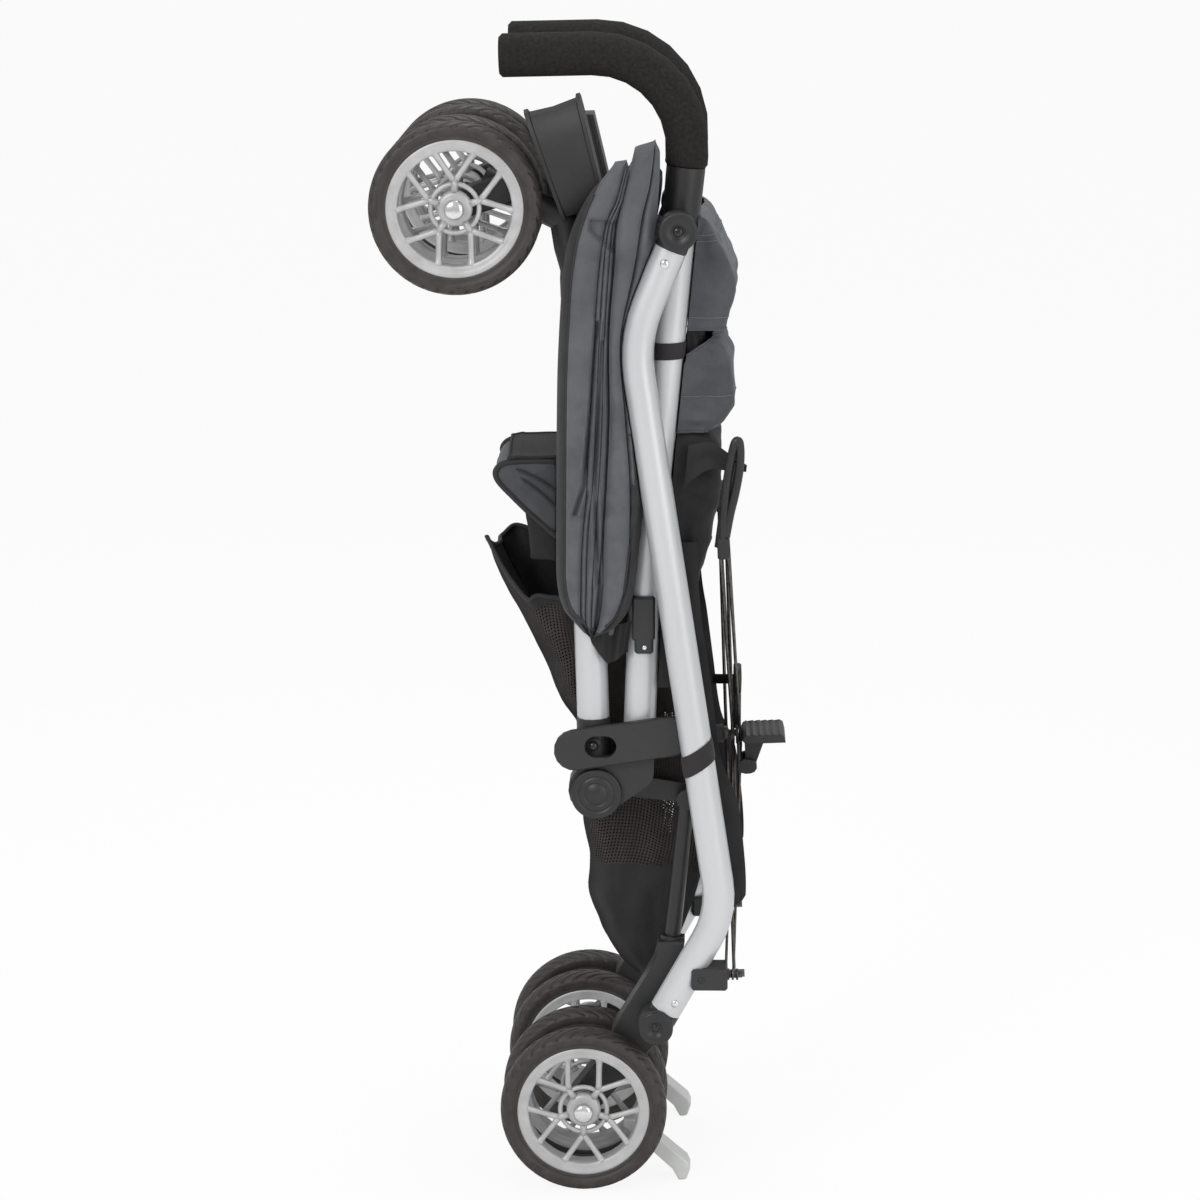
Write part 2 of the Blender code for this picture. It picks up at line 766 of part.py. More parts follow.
def front_housing(side, s):
    """End fitting of the front tube: socket, swivel neck and a flared cup with two lips."""
    y = s * FRONT_Y
    axis = caster_axis()
    foot = caster_foot(y)
    top = side_point(front_line(FRONT_TOP_Z + GAP), y)
    low = side_point(front_line(FRONT_TOP_Z - 0.016), y)
    split = foot - axis * (CASTER_SPLIT - 0.0005)
    shoulder = foot - axis * 0.088
    housing = sweep("front_housing_" + side, [low, top, top + (top - low).normalized() * 0.02],
                    [TUBE_R + SOCKET_WALL, TUBE_R + SOCKET_WALL, TUBE_R], black_plastic(), 14)
    neck = sweep("neck", [split, split - axis * 0.02, shoulder], [CASTER_STEM_R] * 3, black_plastic(), 14)
    web_path = [top + Vector((0, 0, 0.004)), mix(top, shoulder, 0.55), shoulder + Vector((0, 0, 0.003))]
    web = sweep("web", web_path, [TUBE_R, 0.0140, 0.0120], black_plastic(), 14)
    join(housing, [neck, web, cup_body(y)])
    bore_low = side_point(front_line(FRONT_TOP_Z - 0.03), y)
    bore = sweep("bore", [bore_low, side_point(front_line(FRONT_TOP_Z + GAP), y)], TUBE_R + GAP, black_plastic())
    cut(housing, [bore])


CUP_LOW_FRONT = (-0.0160, 0.8870)
CUP_HIGH_FRONT = (-0.0500, 0.9800)
CUP_HIGH_REAR = (-0.0010, 0.9950)
CUP_LOW_REAR = (0.0230, 0.8950)


def cup_ring(low, high, y, half_w):
    """A rounded section of the cup between two side points."""
    a = side_point(low, y)
    b = side_point(high, y)
    middle = (a + b) / 2
    half = (b - a) / 2
    ring = []
    for k in range(14):
        t = math.tau * k / 14
        c = math.copysign(abs(math.cos(t)) ** 0.6, math.cos(t))
        d = math.copysign(abs(math.sin(t)) ** 0.6, math.sin(t))
        ring.append(middle + half * c + Vector((0, half_w * d, 0)))
    return ring


def cup_body(y):
    """A flared cup: two thin lips with a slightly waisted wall between them."""
    def between(a, b, t):
        return (a[0] + (b[0] - a[0]) * t, a[1] + (b[1] - a[1]) * t)

    stations = [(0.0, CUP_LIP), (0.07, CUP_LIP), (0.09, 1.0), (0.5, 0.97), (0.91, 1.0), (0.93, CUP_LIP), (1.0, CUP_LIP)]
    rings = []
    for t, swell in stations:
        low = between(CUP_LOW_FRONT, CUP_LOW_REAR, t)
        high = between(CUP_HIGH_FRONT, CUP_HIGH_REAR, t)
        middle = between(low, high, 0.5)
        low = between(middle, low, swell)
        high = between(middle, high, swell)
        rings.append(cup_ring(low, high, y, CUP_W / 2 * swell))
    return loft("cup", rings, black_plastic(), 40)


def caster_fork(side, s):
    """Swivelling fork between the two front wheels, with its axle."""
    y = s * FRONT_Y
    axis = caster_axis()
    foot = caster_foot(y)
    start = foot - axis * (CASTER_SPLIT - 0.0015) + axis * 0.001
    fork = sweep("caster_fork_" + side, [start, foot - axis * 0.010], [CASTER_STEM_R + 0.001, 0.0125], black_plastic(), 14)
    root = (foot - axis * 0.030)
    outline = capsule((root.x, root.z), FRONT_AXLE, 0.0135, 0.0125, 8)
    ys = sorted((y - FORK_W / 2, y + FORK_W / 2))
    arm = slab("arm", outline, ys[0], ys[1], black_plastic(), 0.0015)
    join(fork, [arm, axle_pin(FRONT_AXLE, y, steel())])


# Rear housings

def rear_housing(side, s):
    """Housing that carries the strut, the pivot and the rear axle."""
    y = s * PAIR_Y
    ys = sorted((y - HOUSING_W / 2, y + HOUSING_W / 2))
    arm = capsule(HOUSING_PIVOT, REAR_AXLE, HOUSING_DISC_R + 0.001, 0.0145, 8)
    housing = slab("rear_housing_" + side, arm, ys[0], ys[1], black_plastic(), 0.0015)
    tower_outline = [
        (SOCKET_TOP[0] - 0.0125, SOCKET_TOP[1]),
        (SOCKET_TOP[0] + 0.0115, SOCKET_TOP[1]),
        (HOUSING_PIVOT[0] + 0.0160, HOUSING_PIVOT[1] + 0.010),
        (HOUSING_PIVOT[0], HOUSING_PIVOT[1] - 0.012),
        (0.0290, 0.1280),
        (0.0270, 0.1440),
        (SOCKET_TOP[0] - 0.0150, SOCKET_TOP[1] - 0.0200),
    ]
    tower = slab("tower", tower_outline, ys[0], ys[1], black_plastic(), 0.0015)
    join(housing, [tower, axle_pin(REAR_AXLE, y, steel()), strut_socket(y)])
    heading = (side_point(STRUT_TOP, y) - side_point(SOCKET_TOP, y)).normalized()
    low = side_point(SOCKET_TOP, y) - heading * 0.030
    bore = sweep("bore", [low, low + heading * 0.06], STRUT_R + GAP, black_plastic())
    cut(housing, [bore])


def strut_socket(y):
    heading = (side_point(STRUT_TOP, y) - side_point(SOCKET_TOP, y)).normalized()
    top = side_point(SOCKET_TOP, y) + heading * 0.003
    return sweep("socket", [top - heading * 0.05, top], [STRUT_R + 0.0042, STRUT_R + 0.0036], black_plastic(), 14)


def rear_strut(side, s):
    """Lower link tube, from the housing's socket to the pivot under the seat."""
    y = s * PAIR_Y
    heading = (side_point(STRUT_TOP, y) - side_point(SOCKET_TOP, y)).normalized()
    low = side_point(SOCKET_TOP, y) - heading * (0.030 - GAP)
    top = side_point(STRUT_TOP, y)
    strut = sweep("rear_strut_" + side, [low, top], STRUT_R, black_plastic())
    inner = FRONT_Y - TUBE_R - 0.0012
    profile = [(inner, 0.0060), (PAIR_Y + STRUT_R + 0.001, 0.0060)]
    boss = lathe("boss", [(PAIR_Y - STRUT_R, 0.0095), (PAIR_Y + STRUT_R + 0.0005, 0.0095)],
                 side_point(STRUT_TOP, 0), (0, s, 0), black_plastic(), 14)
    pin = lathe("pin", profile, side_point(STRUT_TOP, 0), (0, s, 0), black_plastic(), 12)
    join(strut, [boss, pin])


def brake_pedal(side, s):
    """Pale lever behind the axle, which also props the folded stroller up."""
    y = s * PAIR_Y
    ys = sorted((y - BRAKE_W / 2, y + BRAKE_W / 2))
    along = Vector((BRAKE_TIP[0] - BRAKE_PIVOT[0], BRAKE_TIP[1] - BRAKE_PIVOT[1])).normalized()
    across = Vector((-along.y, along.x)) * (BRAKE_T / 2)
    pivot = Vector(BRAKE_PIVOT)
    tip = Vector(BRAKE_TIP)
    heel_x = tip.x - 0.0035
    outline = [
        tuple(pivot + across + along * 0.004),
        tuple(tip + across - along * 0.006),
        tuple(tip + across * 0.55),
        (tip.x - 0.001, 0.0015),
        (heel_x, 0.0),
        (heel_x - 0.0050, 0.0),
        tuple(tip - across - along * 0.012),
        tuple(pivot - across),
        tuple(pivot - along * 0.004),
    ]
    slab("brake_pedal_" + side, outline, ys[0], ys[1], grey_plastic(), 0.0012)


def side_link(side, s):
    """Flat link from the hub to the top of the strut."""
    outer = FRONT_Y - TUBE_R - 0.0020
    ys = sorted((s * (outer - LINK_T), s * outer))
    outline = capsule(HUB_PIVOT, STRUT_TOP, LINK_H / 2 + 0.002, LINK_H / 2, 10)
    slab("side_link_" + side, outline, ys[0], ys[1], black_plastic())


# Cross brace

def brace_mid_z():
    return (BRACE_LOW_Z + BRACE_HIGH_Z) / 2


def eye(x, y, z, thick):
    """A flat ring round a brace pin, with its axis along X."""
    half = thick / 2
    profile = [(-half, EYE_R), (half, EYE_R), (half, BRACE_PIN_R + GAP), (-half, BRACE_PIN_R + GAP)]
    return turned_ring("eye", profile, (x, y, z), (1, 0, 0), steel(), 12)


def brace_arm(name, x, s):
    """One arm of the cross brace: a straight wire with an eye in its middle.

    Its lower end carries a bolt towards the leg bracket, and its upper end a curved lever.
    """
    low = Vector((x, s * BRACE_END_Y, BRACE_LOW_Z))
    high = Vector((x, -s * BRACE_END_Y, BRACE_HIGH_Z))
    middle = (low + high) / 2
    rise = (high - low).normalized()
    lower = sweep(name, [low, middle - rise * (EYE_R - 0.001)], WIRE_R, steel(), 6)
    upper = sweep("upper", [middle + rise * (EYE_R - 0.001), high], WIRE_R, steel(), 6)
    ring = eye(x, middle.y, middle.z, WIRE_R * 2)
    bolt_profile = [(BRACE_X - EYE_R + 0.0021, 0.0035), (BRACE_X + BRACE_STEP + 0.0035, 0.0035)]
    bolt = lathe("bolt", bolt_profile, (0, low.y, low.z), (1, 0, 0), steel(), 10)
    clevis_low = (BRACE_X - 0.0022, high.y - 0.008, high.z - 0.010)
    clevis_high = (BRACE_X + BRACE_STEP + 0.0022, high.y + 0.008, high.z + 0.010)
    clevis = block("clevis", clevis_low, clevis_high, black_plastic(), 0.0015)
    join(lower, [ring, upper, bolt, clevis, brace_lever(high)])
    return lower


def brace_lever(high):
    """A curved lever that stands above the upper end of an arm."""
    foot = Vector((BRACE_X, high.y, high.z))
    bend = foot + Vector((LEVER_BEND[0], 0, LEVER_BEND[1]))
    top = foot + Vector((LEVER_TOP[0], 0, LEVER_TOP[1]))
    rise = (top - bend).normalized()
    path = bent_path([foot, bend, top - rise * LEVER_R * 0.5], [0.090], 3) + [top]
    radii = [LEVER_R] * (len(path) - 1) + [LEVER_R * 0.55]
    return sweep("lever", path, radii, black_plastic(), 10)


def lean_brace():
    """Tip the whole brace about its centre, so that its plane follows the legs."""
    middle = Matrix.Translation((BRACE_X, 0, brace_mid_z()))
    turn = Matrix.Rotation(math.radians(-BRACE_LEAN_DEG), 4, "Y")
    for name in ("brace_arm_left", "brace_arm_right", "brace_hub", "foot_pedal"):
        bpy.data.objects[name].data.transform(middle @ turn @ middle.inverted())


def brace_hub():
    """Centre of the cross brace: boss, pin and cap, with the foot pedal's ears."""
    z = brace_mid_z()
    x0 = BRACE_X - WIRE_R
    x1 = BRACE_X + BRACE_STEP + WIRE_R
    profile = [
        (x0 - 0.0100, 0.0085),
        (x0 - RUN, 0.0085),
        (x0 - RUN, BRACE_PIN_R),
        (x1 + RUN, BRACE_PIN_R),
        (x1 + RUN, 0.0100),
        (x1 + 0.0035, 0.0100),
    ]
    hub = lathe("brace_hub", profile, (0, 0, z), (1, 0, 0), black_plastic(), 14)
    ear_y = PEDAL_W / 2 - 0.012
    low = (x1 + 0.0015, -ear_y, PEDAL_PIVOT[1] - 0.007)
    high = (x1 + 0.0045, ear_y, z - 0.004)
    plate = block("plate", low, high, black_plastic(), 0.001)
    ears = []
    for s in SIDES.values():
        ys = sorted((s * ear_y, s * (ear_y - 0.005)))
        outline = capsule((x1 + 0.0085, PEDAL_PIVOT[1]), PEDAL_PIVOT, 0.0068, 0.0065, 5)
        ears.append(slab("ear", outline, ys[0], ys[1], black_plastic()))
    join(hub, [plate] + ears)


def foot_pedal():
    """Ridged foot pad on a boss that turns between the brace hub's ears."""
    ear_in = PEDAL_W / 2 - 0.012 - 0.005 - RUN
    boss_profile = [(-ear_in, 0.0062), (ear_in, 0.0062)]
    pedal = lathe("foot_pedal", boss_profile, side_point(PEDAL_PIVOT, 0), (0, 1, 0), black_plastic(), 14)
    web_outline = [
        (PEDAL_PIVOT[0] - 0.0040, PEDAL_PIVOT[1]),
        (PEDAL_PIVOT[0] + 0.0045, PEDAL_PIVOT[1] - 0.001),
        (PEDAL_PIVOT[0] + 0.0150, PEDAL_TOP_Z - PEDAL_T + 0.001),
        (PEDAL_PIVOT[0] - 0.0045, PEDAL_TOP_Z - PEDAL_T + 0.001),
    ]
    web = slab("web", web_outline, -ear_in + 0.001, ear_in - 0.001, black_plastic())
    pad = slab("pad", pedal_outline(), -PEDAL_W / 2, PEDAL_W / 2, black_plastic(), 0.001)
    join(pedal, [web, pad])


def pedal_outline():
    """Side outline of the pad: a flat underside and a row of rounded ridges on top."""
    outline = [(PEDAL_REAR_X, PEDAL_TOP_Z - PEDAL_T), (PEDAL_FRONT_X + 0.0035, PEDAL_TOP_Z - PEDAL_T)]
    outline.append((PEDAL_FRONT_X, PEDAL_TOP_Z - PEDAL_T * 0.6))
    run = PEDAL_REAR_X - PEDAL_FRONT_X - 0.003
    steps = PEDAL_RIDGES * 2
    for i in range(steps + 1):
        x = PEDAL_FRONT_X + 0.0015 + run * i / steps
        crest = 0.0018 if i % 2 else 0.0
        outline.append((x, PEDAL_TOP_Z - 0.0018 + crest))
    return outline


# Fold latch

def fold_latch():
    """Latch strap from the left leg over the peg of the left front tube."""
    inner = LEG_Y - TUBE_R + 0.0005
    ys = sorted((-inner, -(inner + LATCH_T)))
    nose = (LATCH_FRONT_X + LATCH_H / 2, LATCH_NOSE_Z)
    tail = (LATCH_REAR_X - LATCH_H / 2, LATCH_TAIL_Z)
    outline = capsule(nose, tail, LATCH_H / 2, LATCH_H / 2 - 0.0002, 8)
    body = slab("fold_latch", outline, ys[0], ys[1], black_plastic(), 0.0015)
    slot_z = LATCH_Z + 0.003
    slot_start = PEG_X - PEG_R - SLOT_LEAD
    slot_front = (slot_start + SLOT_H / 2, slot_z)
    slot_rear = (slot_start + SLOT_L - SLOT_H / 2, slot_z)
    slot = slab("slot", capsule(slot_front, slot_rear, SLOT_H / 2, SLOT_H / 2 - 0.0001, 8),
                ys[0] - 0.01, ys[1] + 0.01, black_plastic())
    leg = sweep("leg", leg_path(-LEG_Y), TUBE_R + 0.0012, silver())
    cut(body, [slot, leg])


# Soft pieces

def mix(a, b, t):
    return a + (b - a) * t


def wing_span(z):
    """Front and rear x of the canopy's side wing at height z."""
    rear_room = min(leg_x(z), 0.2) - TUBE_R - 0.0035
    if z > LEG_UPPER_BEND[1]:
        rear_room = mix(leg_x(LEG_UPPER_BEND[1]), LEG_TOP[0], (z - LEG_UPPER_BEND[1]) / 0.08) - TUBE_R - 0.0035
    low_taper = min(1.0, (z - CANOPY_LOW_Z) / 0.085)
    low_taper = math.sqrt(max(low_taper, 0.02))
    top_taper = min(1.0, (CANOPY_TOP_Z - z) / 0.06)
    top_taper = math.sqrt(max(top_taper, 0.05))
    centre = 0.013
    front = mix(centre - 0.004, CANOPY_FRONT_X, low_taper * mix(0.55, 1.0, top_taper))
    lobe = min(1.0, max(0.0, (z - CANOPY_LOBE_Z) / 0.020))
    rear_edge = min(rear_room, mix(CANOPY_REAR_X, CANOPY_LOBE_X, lobe))
    rear = mix(centre + 0.004, rear_edge, low_taper * mix(0.8, 1.0, top_taper))
    return front, rear


def canopy_section(z, s, layer):
    """One level of a canopy half: a pleated wing outside the front tube, a neck between
    the tubes, and a flat layer that reaches across the middle."""
    front, rear = wing_span(z)
    lift = min(1.0, max(0.0, (z - CUP_CLEAR_Z) / 0.025))
    wing_in = mix(FRONT_Y + TUBE_R + SOCKET_WALL + 0.0012, FRONT_Y + CUP_HALF_W + 0.0012, lift)
    wing_out = mix(wing_in + CANOPY_T, LEG_Y + TUBE_R + 0.002, lift)
    neck_front = mix(front_line(z)[0] + TUBE_R + 0.0030, CUP_LOW_REAR[0] + 0.0060, lift)
    neck_rear = min(push_x(z) - TUBE_R - 0.0030, rear)
    neck_in = FRONT_Y - CUP_HALF_W - 0.0020
    points = []
    steps = CANOPY_PLEATS * 4
    for i in range(steps + 1):
        t = i / steps
        x = mix(front, rear, t)
        bulge = math.sin(math.pi * t) ** 0.5
        pleat = CANOPY_PLEAT * math.cos(math.tau * CANOPY_PLEATS * t)
        points.append((x, mix(wing_in + 0.006, wing_out, bulge) - 0.003 + pleat * (0.4 + 0.6 * bulge)))
    points.append((rear, wing_in))
    points.append((neck_rear, wing_in))
    points.append((neck_rear, neck_in))
    lay_front, lay_rear = layer
    points.append((lay_rear, neck_in - 0.002))
    points.append((lay_rear, -neck_in + 0.012))
    points.append((lay_front, -neck_in + 0.012))
    points.append((lay_front, neck_in - 0.002))
    points.append((neck_front, neck_in))
    points.append((neck_front, wing_in))
    points.append((front, wing_in))
    return [Vector((x, s * y, z)) for x, y in points]


def canopy(side, s):
    layer = (0.0230, 0.0330) if s < 0 else (0.0090, 0.0190)
    levels = [0.0, 0.04, 0.10, 0.18, 0.30, 0.42, 0.54, 0.66, 0.76, 0.85, 0.93, 1.0]
    rings = []
    for t in levels:
        z = mix(CANOPY_LOW_Z + 0.004, CANOPY_TOP_Z - 0.004, t)
        rings.append(canopy_section(z, s, layer))
    loft("canopy_" + side, rings, canopy_cloth())


SEAT_REAR = [(0.885, 0.1060), (0.868, 0.1160), (0.835, 0.1280), (0.804, 0.1360), (0.765, 0.1270),
             (0.713, 0.1360), (0.686, 0.1220), (0.655, 0.1180), (0.610, 0.1160), (0.560, 0.1120),
             (0.520, 0.1020), (0.485, 0.0850)]


def seat_back():
    """Folded seat back behind the push tubes: one bundle with its main folds."""
    rings = []
    for z, rear in SEAT_REAR:
        front = push_x(min(z, PUSH_TOP[1])) + TUBE_R + 0.0020
        rear = max(rear, front + 0.008)
        ring = []
        steps = 8
        for i in range(steps + 1):
            t = i / steps
            y = mix(-SEAT_HALF_W, SEAT_HALF_W, t)
            fold = 0.0035 * math.cos(math.tau * 2 * t)
            ring.append(Vector((rear - 0.006 * abs(2 * t - 1) ** 2 - 0.0035 + fold, y, z)))
        ring.append(Vector((front, SEAT_HALF_W, z)))
        ring.append(Vector((front, -SEAT_HALF_W, z)))
        rings.append(ring[::-1])
    loft("seat_back", rings, black_cloth())


BASKET_FRONT = [(0.412, -0.0094), (0.340, -0.0040), (0.258, 0.0045), (0.210, 0.0326), (0.182, 0.0514)]


def basket():
    """Mesh basket squeezed between the legs, as one closed bag."""
    half = BASKET_HALF_W
    levels = [(0.586, -0.0835, -0.0640), (0.560, -0.0790, -0.0440), (0.500, -0.0520, 0.0000), (0.470, -0.0370, 0.0050)]
    levels += [(z, x, BASKET_REAR_X - 0.030 * max(0.0, (0.30 - z) / 0.12)) for z, x in BASKET_FRONT]
    rings = []
    for z, front, rear in levels:
        taper = 0.012 if z > 0.5 else 0.0
        ring = []
        for x, y in ((front, -0.6), (mix(front, rear, 0.12), -1), (mix(front, rear, 0.5), -0.93), (rear, -1),
                     (rear, 1), (mix(front, rear, 0.5), 0.93), (mix(front, rear, 0.12), 1), (front, 0.6)):
            ring.append(Vector((x, y * (half - taper), z)))
        rings.append(ring)
    loft("basket", rings, black_cloth())


def leg_rest():
    """Padded leg rest in front of the front tubes."""
    outline = [(-0.0240, 0.6840), (-0.0640, 0.6840), (-0.0690, 0.6780), (-0.0690, 0.6620), (-0.0790, 0.6560),
               (-0.0800, 0.6420), (-0.0560, 0.6100), (-0.0300, 0.5700), (-0.0240, 0.5700)]
    slab("leg_rest", outline, -FRONT_Y + TUBE_R + 0.006, FRONT_Y - TUBE_R - 0.006, canopy_cloth(), 0.004)


def leaned(point):
    """Where a point of the upright brace is once the brace leans."""
    middle = Vector((BRACE_X, 0, brace_mid_z()))
    return middle + Matrix.Rotation(math.radians(-BRACE_LEAN_DEG), 3, "Y") @ (point - middle)


def move_origin(names, point):
    """Put the origins of several pieces on one point without moving the pieces."""
    for name in names:
        obj = bpy.data.objects[name]
        obj.data.transform(Matrix.Translation(-point))
        obj.location = point


def set_origins():
    """Give each turning piece an origin on the axis that it turns about."""
    middle = Vector((BRACE_X, 0, brace_mid_z()))
    latch_axis = side_point((leg_x(LATCH_Z), LATCH_Z), -LEG_Y)
    clamp_x = push_x(CANOPY_CLAMP_Z)
    move_origin(["brace_arm_left", "brace_arm_right", "brace_hub"], middle)
    move_origin(["foot_pedal"], leaned(side_point(PEDAL_PIVOT, 0)))
    move_origin(["fold_latch"], latch_axis)
    for side, s in SIDES.items():
        push = ["push_tube_", "handle_grip_", "handle_sleeve_", "hub_elbow_", "canopy_clamp_"]
        front = ["front_tube_", "front_knuckle_", "front_housing_", "side_link_"]
        rear = ["rear_housing_", "rear_strut_"]
        move_origin([name + side for name in push], side_point(HANDLE_PIVOT, s * FRONT_Y))
        move_origin([name + side for name in front], side_point(HUB_PIVOT, s * FRONT_Y))
        move_origin([name + side for name in rear], side_point(HOUSING_PIVOT, s * PAIR_Y))
        move_origin(["brake_pedal_" + side], side_point(BRAKE_PIVOT, s * PAIR_Y))
        move_origin(["caster_fork_" + side], caster_foot(s * FRONT_Y))
        move_origin(["canopy_" + side], side_point((clamp_x, CANOPY_CLAMP_Z), s * FRONT_Y))


def build():
    clear_scene()
    add_wheels()
    for side, s in SIDES.items():
        rear_leg(side, s)
        leg_cap(side, s)
        leg_foot(side, s)
        brace_bracket(side, s)
        push_tube(side, s)
        handle_grip(side, s)
        handle_sleeve(side, s)
        hub_elbow(side, s)
        canopy_clamp(side, s)
        front_tube(side, s)
        front_knuckle(side, s)
        front_housing(side, s)
        caster_fork(side, s)
        rear_housing(side, s)
        rear_strut(side, s)
        brake_pedal(side, s)
        side_link(side, s)
        brace_arm("brace_arm_" + side, BRACE_X if s < 0 else BRACE_X + BRACE_STEP, s)
        canopy(side, s)
    brace_hub()
    foot_pedal()
    fold_latch()
    seat_back()
    basket()
    leg_rest()
    lean_brace()
    set_origins()


build()
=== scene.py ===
"""Looks of the compact stroller: camera, light, materials, soft pieces, wheels and small parts."""

import math

import bmesh
import bpy
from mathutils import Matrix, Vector, noise


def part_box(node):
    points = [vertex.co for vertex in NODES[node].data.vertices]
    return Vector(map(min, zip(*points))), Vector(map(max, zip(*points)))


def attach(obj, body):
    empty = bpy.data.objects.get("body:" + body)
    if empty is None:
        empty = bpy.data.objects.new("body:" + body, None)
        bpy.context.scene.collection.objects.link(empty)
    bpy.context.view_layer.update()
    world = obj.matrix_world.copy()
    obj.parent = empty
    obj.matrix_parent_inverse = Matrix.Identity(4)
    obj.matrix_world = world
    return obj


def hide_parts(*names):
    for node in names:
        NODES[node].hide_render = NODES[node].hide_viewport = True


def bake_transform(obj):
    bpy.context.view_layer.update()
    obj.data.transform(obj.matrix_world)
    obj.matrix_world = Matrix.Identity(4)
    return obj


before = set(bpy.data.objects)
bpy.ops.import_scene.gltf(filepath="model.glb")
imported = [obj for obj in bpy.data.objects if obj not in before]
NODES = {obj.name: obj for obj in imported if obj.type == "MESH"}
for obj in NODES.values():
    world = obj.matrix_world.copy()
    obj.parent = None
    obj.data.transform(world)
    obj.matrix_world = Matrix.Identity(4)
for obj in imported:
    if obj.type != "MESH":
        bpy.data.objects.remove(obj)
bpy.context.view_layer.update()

SIDES = {"left": -1, "right": 1}
PUSH_Y = 0.088
LEG_Y = 0.118
TUBE_R = 0.0145


def mm(*rows):
    """Rows of sizes that are written in millimetres, turned into metres."""
    return tuple(tuple(size / 1000 for size in row) for row in rows)


def add_object(name, data):
    obj = bpy.data.objects.new(name, data)
    bpy.context.scene.collection.objects.link(obj)
    return obj


def mesh_of(name, bm):
    mesh = bpy.data.meshes.new(name)
    bm.to_mesh(mesh)
    bm.free()
    return mesh


# Camera, floor and light

WHITE = (1, 1, 1, 1)
STUDIO_LIGHT = 0.62
FLOOR_TONE = (0.90, 0.90, 0.90, 1)
FLOOR_GLOW = 0.90


def make_camera():
    data = bpy.data.cameras.new("camera")
    data.sensor_fit = "HORIZONTAL"
    data.sensor_width = 36
    data.lens = 117
    camera = add_object("camera", data)
    camera.location = (0.104, -3.516, 1.267)
    camera.rotation_euler = (math.radians(90 - 11.9), 0, math.radians(1.469))
    bpy.context.scene.camera = camera


def area_light(name, place, aim, size, power):
    data = bpy.data.lights.new(name, "AREA")
    data.shape = "RECTANGLE"
    data.size = size[0]
    data.size_y = size[1]
    data.energy = power
    lamp = add_object(name, data)
    lamp.location = place
    lamp.rotation_euler = (Vector(aim) - Vector(place)).to_track_quat("-Z", "Y").to_euler()


class Tree:
    """A node tree that is built from nothing."""

    def __init__(self, owner):
        owner.use_nodes = True
        self.nodes = owner.node_tree.nodes
        self.links = owner.node_tree.links
        self.nodes.clear()

    def new(self, kind, **values):
        node = self.nodes.new("ShaderNode" + kind)
        for name, value in values.items():
            node.inputs[name.replace("_", " ")].default_value = value
        return node

    def link(self, a, b):
        self.links.new(a, b)

    def show(self, out, share, first, second):
        """The output gets the first shader where the share is 0 and the second where it is 1."""
        pick = self.new("MixShader")
        self.link(share, pick.inputs["Fac"])
        self.link(first.outputs[0], pick.inputs[1])
        self.link(second.outputs[0], pick.inputs[2])
        self.link(pick.outputs[0], out.inputs["Surface"])


def make_light():
    scene = bpy.context.scene
    scene.view_settings.view_transform = "Standard"
    scene.world = bpy.data.worlds.new("studio")
    tree = Tree(scene.world)
    soft = tree.new("Background", Color=WHITE, Strength=STUDIO_LIGHT)
    white = tree.new("Background", Color=WHITE, Strength=1.0)
    seen = tree.new("LightPath").outputs["Is Camera Ray"]
    tree.show(tree.new("OutputWorld"), seen, soft, white)
    area_light("key", (-1.6, -2.6, 2.6), (0, 0, 0.55), (1.6, 1.6), 46)
    area_light("fill", (2.2, -2.2, 1.4), (0, 0, 0.5), (1.6, 2.2), 20)
    area_light("top", (0.2, 0.6, 3.0), (0, 0, 0.5), (1.6, 1.6), 24)


def make_floor():
    bm = bmesh.new()
    bmesh.ops.create_grid(bm, x_segments=1, y_segments=1, size=40)
    mesh = mesh_of("floor", bm)
    floor = add_object("floor", mesh)
    mat = bpy.data.materials.new("floor")
    tree = Tree(mat)
    lit = tree.new("BsdfDiffuse", Color=FLOOR_TONE)
    glow = tree.new("Emission", Strength=1.0)
    share = tree.new("Math")
    share.operation = "MULTIPLY"
    share.inputs[1].default_value = FLOOR_GLOW
    tree.link(tree.new("LightPath").outputs["Is Camera Ray"], share.inputs[0])
    tree.show(tree.new("OutputMaterial"), share.outputs[0], lit, glow)
    mesh.materials.append(mat)


# Materials

